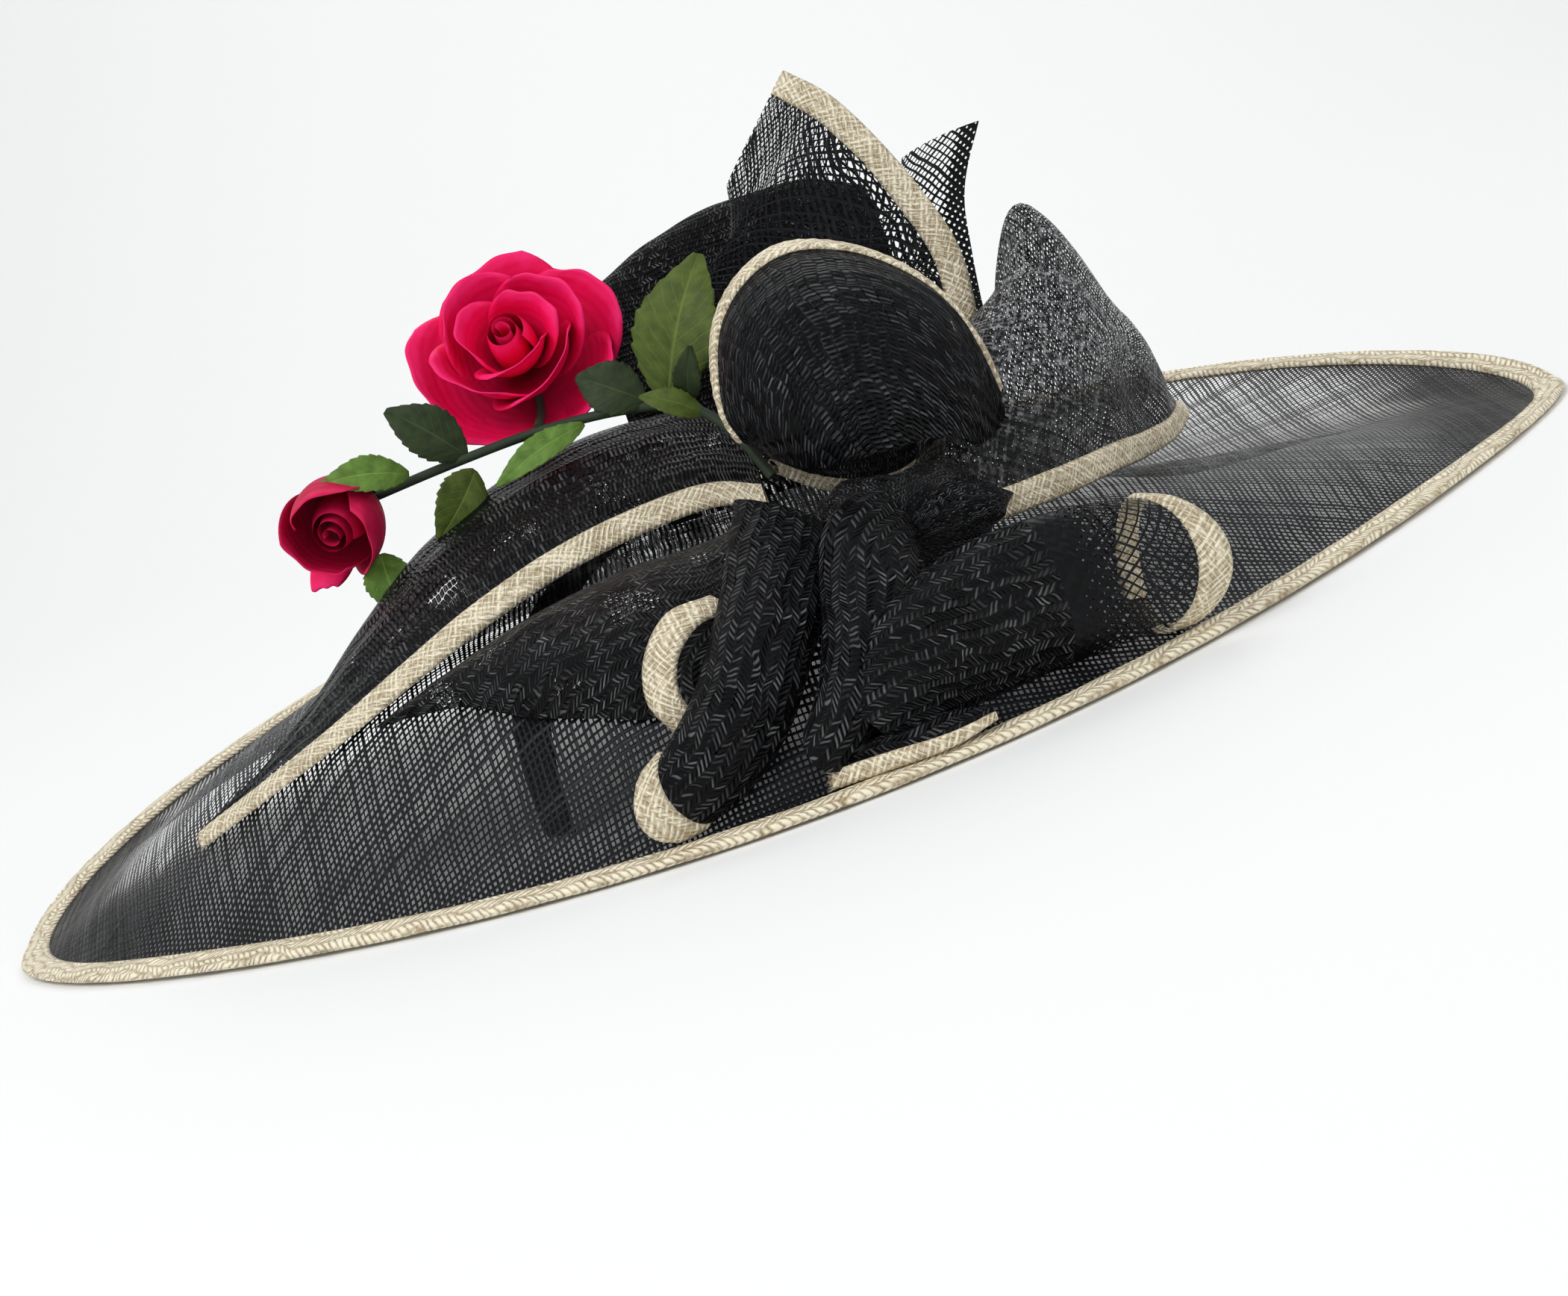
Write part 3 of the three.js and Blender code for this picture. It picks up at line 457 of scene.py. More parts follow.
class ShaderTree(Tree):
    """A shader tree, with short ways of adding patterns and colours."""

    def spread(self, value: object, low: float, high: float, to_low: float = 0.0,
               to_high: float = 1.0) -> bpy.types.NodeSocket:
        """Maps a value from one range to another, held within it."""
        values = dict(enumerate((value, low, high, to_low, to_high)))
        return self.node("ShaderNodeMapRange", values).outputs[0]

    def noise(self, vector: object, scale: float, detail: float = 2.0) -> bpy.types.NodeSocket:
        """Soft noise on a vector."""
        values = {"Vector": vector, "Scale": scale, "Detail": detail}
        return self.node("ShaderNodeTexNoise", values).outputs[0]

    def chance(self, cell: object) -> bpy.types.NodeSocket:
        """A steady random number for each whole number."""
        return self.node("ShaderNodeTexWhiteNoise", {"W": cell}, noise_dimensions="1D").outputs["Value"]

    def bands(self, vector: object, direction: str, **values: float) -> bpy.types.NodeSocket:
        """Even bands that lie across a direction."""
        return self.node("ShaderNodeTexWave", {"Vector": vector, **values}, wave_type="BANDS",
                         bands_direction=direction).outputs["Fac"]

    def mix(self, share: object, first: object, second: object) -> bpy.types.NodeSocket:
        """Mixes two colours, each a socket or three numbers."""
        first, second = (c if isinstance(c, bpy.types.NodeSocket) else (*c, 1) for c in (first, second))
        return self.node("ShaderNodeMix", {0: share, 6: first, 7: second}, data_type="RGBA").outputs[2]

    def attribute(self, name: str) -> bpy.types.NodeSocket:
        """Reads a number that the piece's points carry."""
        return self.node("ShaderNodeAttribute", attribute_name=name).outputs["Fac"]

    def shared(self, tree: bpy.types.NodeTree, **values: object) -> bpy.types.NodeOutputs:
        """Adds a shared group with its inputs, and gives its outputs."""
        return self.node("ShaderNodeGroup", values, node_tree=tree).outputs

    def bump(self, height: object, strength: float, distance: float) -> bpy.types.NodeSocket:
        """Turns a height into a normal, its distance in millimetres."""
        return self.node("ShaderNodeBump", {"Strength": strength, "Distance": distance * MM,
                                            "Height": height}).outputs[0]


def shared_tree(name: str, inputs: dict[str, float], outputs: tuple[str, ...]) -> ShaderTree:
    """Starts a shared group that reads the place on the cloth.

    Args:
        name: its name.
        inputs: its numbers with their first values.
        outputs: the names of the values that it puts out.

    Returns:
        The group, still without nodes.
    """
    s = ShaderTree(bpy.data.node_groups.new(name, "ShaderNodeTree"))
    s.sockets("INPUT", "Vector", ("Cloth",))
    s.sockets("INPUT", "Float", inputs)
    s.sockets("OUTPUT", "Float", outputs)
    return s


def open_weave() -> bpy.types.NodeTree:
    """Node group of a plain open weave of uneven straw threads.

    Returns:
        A group from the place on the cloth to the threads' mask, height and tone.
    """
    s = shared_tree("open_weave", {"Pitch": 1.6, "Thread": 0.4, "Angle": 0.0, "Wobble": 0.25, "Closed": 0.0},
                    ("Mask", "Height", "Tone"))
    given = s.node("NodeGroupInput").outputs
    per_unit = s.math("DIVIDE", CLOTH_UNIT_MM, given["Pitch"])
    scaled = s.node("ShaderNodeVectorMath", {0: given["Cloth"], "Scale": per_unit}, operation="SCALE")
    turned = s.node("ShaderNodeVectorRotate", {"Vector": scaled.outputs[0], "Angle": given["Angle"]},
                    rotation_type="Z_AXIS").outputs[0]
    drift = s.node("ShaderNodeTexNoise", {"Vector": turned, "Scale": 0.13}).outputs["Color"]
    reach = s.times(given["Wobble"], 4.0)
    wobble = s.node("ShaderNodeCombineXYZ", {0: reach, 1: reach}).outputs[0]
    moved = s.node("ShaderNodeVectorMath", {0: drift, 1: wobble, 2: turned}, operation="MULTIPLY_ADD")
    axes = s.node("ShaderNodeSeparateXYZ", {0: moved.outputs[0]}).outputs
    masks, heights, tones, cells = [], [], [], []
    for k in (0, 1):
        cell = s.math("FLOOR", axes[k])
        chance = s.chance(s.math("ADD", cell, 31.7 * k))
        off = s.math("ABSOLUTE", s.math("SUBTRACT", s.math("FRACT", axes[k]), 0.5))
        wide = s.times(given["Thread"], s.times(chance, 1.1, 0.45))
        half = s.math("MAXIMUM", s.times(wide, 0.5), s.times(given["Closed"], 0.6))
        share = s.math("DIVIDE", off, s.math("MAXIMUM", half, 0.05))
        masks.append(s.math("LESS_THAN", off, half))
        heights.append(s.math("MAXIMUM", s.math("SUBTRACT", 1.0, s.times(share, share)), 0.0))
        tones.append(chance)
        cells.append(cell)
    parity = s.math("MODULO", s.math("ABSOLUTE", s.math("ADD", *cells)), 2.0)
    warp = s.times(heights[0], s.times(parity, 0.5, 0.5))
    weft = s.times(heights[1], s.times(parity, -0.5, 1.0))
    upper = s.math("GREATER_THAN", warp, weft)
    tone = s.times(tones[1], s.math("SUBTRACT", 1.0, upper), s.times(tones[0], upper))
    s.node("NodeGroupOutput", {"Mask": s.math("MAXIMUM", *masks), "Height": s.math("MAXIMUM", warp, weft),
                               "Tone": tone})
    return s.tree


def dash_rows() -> bpy.types.NodeTree:
    """Node group of rows of slanting raised dashes, as a bias weave shows when it is pulled into ribs.

    Returns:
        A group from the place on the cloth to the dashes' mask, height and glint.
    """
    s = shared_tree("dash_rows", {"Row": 2.4, "Dash": 1.5, "Slant": 1.2, "Swap": 1.0},
                    ("Mask", "Height", "Glint"))
    given = s.node("NodeGroupInput").outputs
    scaled = s.node("ShaderNodeVectorMath", {0: given["Cloth"], "Scale": CLOTH_UNIT_MM},
                    operation="SCALE").outputs[0]
    drift = s.noise(scaled, 0.07, 3.0)
    axes = s.node("ShaderNodeSeparateXYZ", {0: scaled}).outputs
    row = s.times(drift, 3.0, s.math("DIVIDE", axes[1], given["Row"]))
    cell = s.math("FLOOR", row)
    local = s.math("SUBTRACT", s.math("FRACT", row), 0.5)
    odd = s.math("MODULO", s.math("ABSOLUTE", cell), 2.0)
    sign = s.math("SUBTRACT", 1.0, s.times(s.times(odd, 2.0), given["Swap"]))
    slide = s.times(s.times(sign, local), given["Slant"])
    place = s.math("ADD", s.math("DIVIDE", axes[0], given["Dash"]), slide)
    place = s.times(drift, 2.0, s.times(s.chance(cell), 0.4, place))
    centred = s.times(s.math("FRACT", place), 2.0, -1.0)
    bar = s.math("SUBTRACT", 1.0, s.times(centred, centred))
    wide = s.times(local, 2.0)
    ridge = s.math("SUBTRACT", 1.0, s.times(wide, wide))
    height = s.times(bar, ridge)
    pair = s.node("ShaderNodeCombineXYZ", {0: s.math("FLOOR", place), 1: cell}).outputs[0]
    single = s.node("ShaderNodeTexWhiteNoise", {"Vector": pair}, noise_dimensions="2D")
    line = s.times(s.spread(bar, 0.72, 0.98), s.spread(ridge, 0.1, 0.6))
    glint = s.times(line, s.spread(single.outputs["Value"], 0.35, 1.0))
    s.node("NodeGroupOutput", {"Mask": s.math("GREATER_THAN", height, 0.1), "Height": height, "Glint": glint})
    return s.tree


# Finishes

@dataclass(frozen=True)
class Finish:
    """A finish on a Principled surface; the classes below add their patterns.

    Args:
        name: the material's name.
    """

    name: str

    def build(self) -> bpy.types.Material:
        """Makes the material.

        Returns:
            The material, its surface fed by the finish's own pattern.
        """
        material = bpy.data.materials.new(self.name)
        material.use_nodes = True
        s = ShaderTree(material.node_tree)
        place = s.node("ShaderNodeUVMap", uv_map="cloth").outputs[0]
        shader = material.node_tree.nodes["Principled BSDF"]
        for name, value in self.surface(s, place).items():
            s.feed(shader.inputs[name], value)
        return material

    def surface(self, s: ShaderTree, place: bpy.types.NodeSocket) -> dict[str, object]:
        """The shader's inputs, from the place on the cloth."""
        return {}


@dataclass(frozen=True)
class Sinamay(Finish):
    """Stiff open weave of glossy dyed straw threads.

    Args:
        weave: the shared weave group.
        angle: the threads' turn in degrees.
        pitch: distance between threads in millimetres.
        thread: a thread's share of the pitch.
        closed: share by which the holes are shut all over.
        dark: colour of the threads in shade.
        light: colour of the threads where the painted sheen is strongest.
        roughness: the surface's roughness.
        sheen_patchiness: how much patches of threads lose their shine.
    """

    weave: bpy.types.NodeTree
    angle: float = 0.0
    pitch: float = 1.65
    thread: float = 0.42
    closed: float = 0.0
    dark: Colour = (0.0015, 0.0017, 0.0022)
    light: Colour = (0.010, 0.011, 0.014)
    roughness: float = 0.4
    sheen_patchiness: float = 0.0

    def surface(self, s: ShaderTree, place: bpy.types.NodeSocket) -> dict[str, object]:
        """Threads with open holes between them, shut along hems and in loose patches, with a painted sheen on
        their crowns.
        """
        hem = s.attribute("hem")
        slack = s.spread(s.noise(place, 3.0), 0.45, 0.75, 0.0, 0.35)
        closed = s.math("ADD", s.math("ADD", hem, slack), self.closed)
        mesh = s.shared(self.weave, Cloth=place, Pitch=self.pitch, Thread=self.thread,
                        Angle=math.radians(self.angle), Closed=closed)
        # Painted sheen: each thread is lighter towards its raised crown, over its own random tone.
        tone = s.times(mesh["Tone"], s.times(mesh["Height"], 0.7, 0.3))
        # The painted sheen fades where the hem shuts the mesh, so hems and dense feet read darker.
        tone = s.times(tone, s.spread(hem, 0.1, 0.6, 1.0, 0.25))
        # Painted sheen broken into patches: where the noise is low the threads lose their painted sheen.
        if self.sheen_patchiness:
            tone = s.times(tone, s.spread(s.noise(place, 38.0), 0.42, 0.62, 1 - self.sheen_patchiness, 1.0))
        rough = s.spread(mesh["Tone"], 0.0, 1.0, self.roughness + 0.12, self.roughness - 0.1)
        return {"Base Color": s.mix(tone, self.dark, self.light), "Roughness": rough, "Alpha": mesh["Mask"],
                "Specular IOR Level": 0.15, "Normal": s.bump(mesh["Height"], 0.8, 0.25)}


@dataclass(frozen=True)
class DashWeave(Finish):
    """The same straw pulled on the bias, which closes it into rows of glossy dashes.

    Args:
        rows: the shared dash group.
        row: width of a row in millimetres.
        dash: distance between dashes in millimetres.
        slant: how far a dash leans over its row.
        swap: 1 where neighbouring rows lean opposite ways.
        ground: colour between the dashes.
        glint: colour of the dashes that catch the light.
        roughness: the surface's roughness.
        holes: share of the gaps that stay open.
    """

    rows: bpy.types.NodeTree
    row: float = 2.5
    dash: float = 1.6
    slant: float = 1.3
    swap: float = 1.0
    ground: Colour = (0.0018, 0.002, 0.0026)
    glint: Colour = (0.17, 0.173, 0.18)
    roughness: float = 0.3
    holes: float = 1.0

    def surface(self, s: ShaderTree, place: bpy.types.NodeSocket) -> dict[str, object]:
        """Dashes that glint in patches, with small holes where the rows part."""
        rows = s.shared(self.rows, Cloth=place, Row=self.row, Dash=self.dash, Slant=self.slant,
                        Swap=self.swap)
        patch = s.spread(s.noise(place, 6.0, 3.0), 0.38, 0.66)
        glint = s.times(rows["Glint"], s.times(patch, 0.8, 0.2))
        open_here = s.times(s.spread(s.noise(place, 5.0, 3.0), 0.5, 0.64), self.holes)
        solid = s.math("MAXIMUM", rows["Mask"], s.math("LESS_THAN", open_here, 0.5))
        return {"Base Color": s.mix(glint, self.ground, self.glint), "Roughness": self.roughness,
                "Specular IOR Level": 0.12, "Alpha": solid, "Normal": s.bump(rows["Height"], 1.0, 0.4)}


@dataclass(frozen=True)
class Plait(Finish):
    """Folded bias strip of undyed straw: plaited rows over a slanting weave.

    Args:
        weave: the shared weave group.
        rows: the shared dash group.
        dark: colour down in the gaps: the black straw beneath, with painted shade.
        light: colour of the raised strands, with a painted highlight.
        row: width of a plaited row in millimetres.
        dash: distance between a row's strands.
        braid: how much the plaited rows stand out from the weave.
    """

    weave: bpy.types.NodeTree
    rows: bpy.types.NodeTree
    dark: Colour = (0.32, 0.23, 0.115)
    light: Colour = (0.98, 0.89, 0.68)
    row: float = 3.0
    dash: float = 1.7
    braid: float = 0.55

    def surface(self, s: ShaderTree, place: bpy.types.NodeSocket) -> dict[str, object]:
        """A slanting mesh under plaited rows, stained unevenly; painted highlight on the raised strands and
        painted shade in the gaps.
        """
        mesh = s.shared(self.weave, Cloth=place, Pitch=1.6, Thread=0.54, Angle=math.radians(36), Wobble=0.35)
        plait = s.shared(self.rows, Cloth=place, Row=self.row, Dash=self.dash, Slant=1.5, Swap=1.0)
        height = s.times(mesh["Height"], 1.2 - 0.8 * self.braid, s.times(plait["Height"], self.braid))
        # Painted light: tone rises with the strands' height, so crowns are lit and gaps shaded.
        tone = s.times(mesh["Tone"], 0.25, s.times(height, 0.85))
        tone = s.times(s.math("SUBTRACT", s.noise(place, 14.0, 4.0), 0.5), 0.5, tone)
        return {"Base Color": s.mix(s.spread(tone, 0.0, 1.0), self.dark, self.light), "Roughness": 0.5,
                "Specular IOR Level": 0.35, "Normal": s.bump(height, 1.0, 0.45)}


@dataclass(frozen=True)
class Petal(Finish):
    """Soft dyed cloth petal with fine veins, darker at the root as painted shade and paler at the lip as
    painted highlight.

    Args:
        deep: colour at the root, a painted shade deep in the bloom.
        bright: colour of the blade.
        lip: colour of the turned lip, a painted highlight.
    """

    deep: Colour
    bright: Colour
    lip: Colour

    def surface(self, s: ShaderTree, place: bpy.types.NodeSocket) -> dict[str, object]:
        """Colour that grows brighter from root to lip, painted shade at the root and painted highlight on the
        lip, with uneven dye over veins and a fine weave.
        """
        uneven = s.math("SUBTRACT", s.noise(place, 16.0, 3.0), 0.5)
        # Painted light: the blade's share shades the root and lights the lip; the noise is uneven dye.
        shade = s.times(uneven, 0.35, s.attribute("blade"))
        lower = s.mix(s.spread(shade, 0.1, 0.7), self.deep, self.bright)
        veins = s.bands(place, "X", Scale=9.0, Distortion=2.5)
        height = s.times(s.noise(place, 260.0), 0.25, s.times(veins, 0.6))
        return {"Base Color": s.mix(s.spread(shade, 0.82, 1.02), lower, self.lip), "Roughness": 0.62,
                "Specular IOR Level": 0.2, "Normal": s.bump(height, 0.5, 0.3)}


@dataclass(frozen=True)
class LeafCloth(Finish):
    """Waxed cloth leaf with a pale midrib and side veins.

    Args:
        dark: colour of the darker patches.
        light: colour of the lighter ones.
    """

    dark: Colour
    light: Colour

    def surface(self, s: ShaderTree, place: bpy.types.NodeSocket) -> dict[str, object]:
        """Blotched green with drawn veins pressed into it."""
        off_rib = s.math("ABSOLUTE", s.attribute("side"))
        slant = s.math("SUBTRACT", s.times(s.attribute("blade"), 9.0), s.times(off_rib, 2.6))
        off_vein = s.math("ABSOLUTE", s.math("SUBTRACT", s.math("FRACT", slant), 0.5))
        rib = s.spread(off_rib, 0.0, 0.07, 1.0, 0.0)
        drawn = s.math("MAXIMUM", s.times(s.spread(off_vein, 0.0, 0.09, 1.0, 0.0), 0.55), rib)
        blade = s.mix(s.spread(s.noise(place, 22.0, 3.0), 0.35, 0.7), self.dark, self.light)
        vein_colour = tuple(min(1.0, 1.6 * channel + 0.02) for channel in self.light)
        height = s.times(s.noise(place, 240.0), 0.25, s.times(drawn, -0.8))
        return {"Base Color": s.mix(s.times(drawn, 0.6), blade, vein_colour), "Roughness": 0.55,
                "Specular IOR Level": 0.25, "Normal": s.bump(height, 0.6, 0.35)}


@dataclass(frozen=True)
class Plain(Finish):
    """Fine cloth or paper wrap of one colour with small ribs.

    Args:
        colour: its colour.
        roughness: its roughness.
        rib: distance between ribs in millimetres.
    """

    colour: Colour
    roughness: float = 0.7
    rib: float = 1.0

    def surface(self, s: ShaderTree, place: bpy.types.NodeSocket) -> dict[str, object]:
        """Ribs and shade read from the object's own coordinates."""
        here = s.node("ShaderNodeTexCoord").outputs["Object"]
        wave_length = 20.0
        ribs = s.bands(here, "DIAGONAL", Scale=1 / (self.rib * MM) / wave_length)
        shade = s.spread(s.noise(here, 90.0, 3.0), 0.3, 0.7, 0.75, 1.15)
        tint = s.node("ShaderNodeVectorMath", {0: self.colour, "Scale": shade}, operation="SCALE")
        return {"Base Color": tint.outputs[0], "Roughness": self.roughness,
                "Normal": s.bump(ribs, 0.4, 0.15)}


@dataclass(frozen=True)
class Backdrop(Finish):
    """Pale matt studio paper.

    Args:
        colour: its colour.
    """

    colour: Colour = (0.9, 0.905, 0.9)

    def surface(self, s: ShaderTree, place: bpy.types.NodeSocket) -> dict[str, object]:
        """One even colour."""
        return {"Base Color": (*self.colour, 1), "Roughness": 0.9}


class Wardrobe:
    """Every finish and geometry tree, made once."""

    def __init__(self) -> None:
        """Builds the materials and the geometry trees."""
        weave, dashes = open_weave(), dash_rows()
        finishes = {
            "brim": Sinamay("sinamay_brim", weave, thread=0.47),
            "crown": Sinamay("sinamay_crown", weave, angle=8.0, closed=0.12),
            "ribbed": DashWeave("sinamay_ribbed", dashes, row=3.1, slant=0.3, glint=(0.11, 0.113, 0.12)),
            "bias": DashWeave("sinamay_bias", dashes),
            "sheer": Sinamay("sinamay_sheer", weave, angle=38.0, thread=0.36, pitch=2.0),
            "net": Sinamay("sinamay_net", weave, angle=38.0, thread=0.24, pitch=2.2),
            # Its light colour is a bright painted sheen on the threads, lost in patches.
            "mottled": Sinamay("sinamay_patchy_sheen", weave, angle=30.0, thread=0.5, pitch=1.6, sheen_patchiness=0.95,
                               light=(0.42, 0.425, 0.44)),
            "dense": DashWeave("sinamay_dense", dashes, row=1.7, dash=1.2, slant=0.8, holes=0.0,
                               glint=(0.2, 0.205, 0.22)),
            "binding": Plait("straw_binding", weave, dashes),
            "rim": Plait("straw_rim", weave, dashes, row=3.3, dash=2.5, braid=1.15),
            "rose": Petal("rose_cloth", (0.30, 0.0, 0.03), (0.87, 0.002, 0.10), (0.95, 0.02, 0.18)),
            "bud": Petal("bud_cloth", (0.14, 0.0, 0.016), (0.48, 0.002, 0.05), (0.70, 0.01, 0.09)),
            "leaf": LeafCloth("leaf_green", (0.05, 0.078, 0.010), (0.095, 0.135, 0.018)),
            "leaf_dark": LeafCloth("leaf_dark", (0.012, 0.024, 0.006), (0.028, 0.048, 0.011)),
            "leaf_bright": LeafCloth("leaf_bright", (0.075, 0.15, 0.02), (0.15, 0.27, 0.045)),
            "stem": Plain("stem_wrap", (0.016, 0.030, 0.012)),
            "headband": Plain("headband_grosgrain", (0.008, 0.009, 0.011), 0.6, 1.2),
            "paper": Backdrop("studio_paper"),
        }
        self.materials = {key: finish.build() for key, finish in finishes.items()}
        self.folded, self.frayed, self.stalk = FoldedBand(), FrayedEnd(), RoundStem()

    def __getitem__(self, key: str) -> bpy.types.Material:
        """A finish's material by its short name."""
        return self.materials[key]


# Pieces

@dataclass(frozen=True)
class Fold:
    """How a strip is folded over an edge, in millimetres.

    Args:
        thickness: its full thickness.
        pucker: height of the sewn puckers.
        spacing: distance between puckers.
        finish: the wardrobe's finish.
        slot: the record's slot.
    """

    thickness: float
    pucker: float
    spacing: float
    finish: str
    slot: Slot = Slot.BINDING


RIM_FOLD = Fold(2.9, 0.12, 4.1, "rim")
BINDING_FOLD = Fold(2.3, 0.12, 4.3, "binding")
HEADBAND_FOLD = Fold(1.6, 0.0, 10.0, "headband", Slot.HEADBAND)


@dataclass
class Piece:
    """One sub-assembly of the hat: it builds meshes, dresses them and reports them.

    Args:
        wardrobe: the shared finishes.
        made: the objects that it has dressed so far.
    """

    wardrobe: Wardrobe
    made: list[bpy.types.Object] = field(default_factory=list)

    def dress(self, piece: bpy.types.Object, finish: str | None, slot: Slot, *nodes: str) -> None:
        """Puts a finish on a piece, ties it to the body and hides the nodes it stands for.

        Args:
            piece: the piece.
            finish: the wardrobe's finish, or None where a tree has painted it.
            slot: the record's slot; not used.
            nodes: the CAD nodes that it replaces.
        """
        if finish is not None:
            piece.data.materials.clear()
            piece.data.materials.append(self.wardrobe[finish])
        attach(piece, ROOT_BODY)
        if nodes:
            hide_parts(*nodes)
        self.made.append(piece)

    def fold(self, node: str, band: np.ndarray, fold: Fold, edge: int = 0) -> bpy.types.Object:
        """Folds a band of points into a closed strip, and dresses it.

        Args:
            node: the CAD node that it replaces.
            band: points along and across the strip in millimetres.
            fold: how it is folded.
            edge: the column that its length is measured on.

        Returns:
            The strip.
        """
        columns = band.shape[1]
        strip = grid_piece(f"hat_{node}", band)
        set_attribute(strip, "across", np.tile(np.linspace(0, 1, columns), len(band)))
        set_attribute(strip, "along", np.repeat(arc(band[:, edge]) * MM, columns))
        self.wardrobe.folded.run(strip, {
            "Half Thickness": fold.thickness * MM / 2, "Pucker": fold.pucker * MM,
            "Pucker Spacing": fold.spacing * MM, "Material": self.wardrobe[fold.finish]})
        self.dress(strip, None, fold.slot, node)
        return strip

    def report(self) -> None:
        """Logs every piece with its faces."""
        for piece in self.made:
            LOG.info("%s: %d faces", piece.name, len(piece.data.polygons))


@dataclass
class Brim(Piece):
    """The blocked oval brim, its rim binding, and the low crown that stands in it.

    Args:
        half_length: rim's half length in millimetres.
        half_depth: rim's half depth.
        point_left: how far the left tip is drawn to a point.
        point_right: the same at the right tip.
        far_lift: height that the far rim gains over the near one.
        rim_height: height of the near rim.
        crown_centre: the crown's middle on the long axis.
        crown_half: the crown's half length and half depth.
        crown_top: its height.
        binding_tip: the binding's width at the tips.
        binding_side: its width along the sides.
        tuck: how far inside the rim the mesh ends, under the binding.
        hem_width: width of the closer mesh along the rim.
        hem_tip: what it gains at the two tips.
        hem_fade: distance over which it opens.
        hem_share: how far it is shut.
        stations: places from the crown to the rim where the heights are given.
        sections: heights at those places but the rim's, one row for each eighth of a turn.
    """

    half_length: float = 271.0
    half_depth: float = 204.0
    point_left: float = 0.3
    point_right: float = 0.5
    far_lift: float = 38.0
    rim_height: float = 1.8
    crown_centre: float = -12.0
    crown_half: tuple[float, float] = (78.0, 68.0)
    crown_top: float = 90.0
    binding_tip: float = 10.5
    binding_side: float = 6.5
    tuck: float = 2.0
    hem_width: float = 22.0
    hem_tip: float = 42.0
    hem_fade: float = 30.0
    hem_share: float = 0.7
    stations: tuple[float, ...] = (0.0, 0.35, 0.62, 0.82, 0.94, 1.0)
    sections: tuple[tuple[float, ...], ...] = (
        (50, 17, 11, 7, 3), (50, 24, 19, 22, 26.5), (56, 34, 30, 34, 38), (60, 40, 29, 26, 26.5),
        (66, 46, 29, 14, 5), (68, 62, 50, 24, 5.5), (68, 63, 49, 19, 4.6), (62, 42, 31, 16, 5))

    def rim(self, angle: float) -> np.ndarray:
        """The rim's outline in plan."""
        x, y = math.cos(angle), math.sin(angle)
        point = (self.point_left + self.point_right) / 2 + x * (self.point_right - self.point_left) / 2
        return np.array([self.half_length * x, self.half_depth * y * (1 - point * x * x)])

    def inner(self, angle: float) -> np.ndarray:
        """The crown's outline in plan."""
        return np.array([self.crown_centre + self.crown_half[0] * math.cos(angle),
                         self.crown_half[1] * math.sin(angle)])

    def section_height(self, column: int, angle: float) -> float:
        """Height at one station, smooth between the table's rows."""
        count = len(self.sections)
        turn = (angle / FULL_TURN * count) % count
        k = int(turn)
        a, b, c, d = (self.sections[(k + i) % count][column] for i in (-1, 0, 1, 2))
        return eased((b, c), ((c - a) / 2, (d - b) / 2), turn - k)

    def height(self, angle: float, share: float) -> float:
        """Height of the brim.

        Args:
            angle: the way round from the right tip.
            share: 0 at the crown, 1 at the rim.

        Returns:
            The height in millimetres.
        """
        rise = max(0.0, math.sin(angle)) ** 1.1
        places = self.stations
        last = len(places) - 1
        heights = [self.section_height(column, angle) for column in range(last)]
        heights.append(self.rim_height + self.far_lift * rise)
        k = 0
        while k < last - 1 and places[k + 1] < share:
            k += 1
        width = places[k + 1] - places[k]
        neighbours = [(max(i - 1, 0), min(i + 1, last)) for i in (k, k + 1)]
        slopes = [(heights[high] - heights[low]) / (places[high] - places[low]) * width
                  for low, high in neighbours]
        return eased((heights[k], heights[k + 1]), slopes, (share - places[k]) / width)

    def point(self, angle: float, share: float) -> np.ndarray:
        """A point of the brim's surface."""
        inner, rim = self.inner(angle), self.rim(angle)
        x, y = inner + (rim - inner) * share
        return np.array([x, y, self.height(angle, share)])

    def span(self, angle: float) -> float:
        """Width of the brim in plan."""
        return float(np.linalg.norm(self.rim(angle) - self.inner(angle)))

    def grid(self, turns: int, shares: Callable[[float], np.ndarray]) -> np.ndarray:
        """Points round the brim, the first row again at the end.

        Args:
            turns: steps round the brim.
            shares: the places from crown to rim for an angle.

        Returns:
            The grid of points.
        """
        angles = np.linspace(0, FULL_TURN, turns + 1)
        return np.array([[self.point(a, share) for share in shares(a)] for a in angles])

    def mesh_shares(self, angle: float, steps: int = 46) -> np.ndarray:
        """Places of the mesh from the crown to under the binding."""
        return np.linspace(0, 1 - self.tuck / self.span(angle), steps)

    def binding_shares(self, angle: float, steps: int = 9) -> np.ndarray:
        """Places of the binding, from its inner edge to just outside the rim."""
        width = self.binding_side + (self.binding_tip - self.binding_side) * math.cos(angle) ** 2
        return np.linspace(1 - width / self.span(angle), 1 + 0.1 / self.span(angle), steps)

    def build(self) -> None:
        """Builds the brim, its binding and the crown."""
        turns = 300
        grid = self.grid(turns, self.mesh_shares)
        grid[1:-1] = ripple(grid, 0.35, (9, 3), 4)[1:-1]
        brim = grid_piece("hat_brim", grid, uv=grid.reshape(-1, 3)[:, :2])
        set_attribute(brim, "hem", self.hem(np.linspace(0, FULL_TURN, turns + 1)))
        self.dress(brim, "brim", Slot.SINAMAY, "brim")
        binding = self.fold("brim_binding", self.grid(360, self.binding_shares), RIM_FOLD)
        self.build_crown()

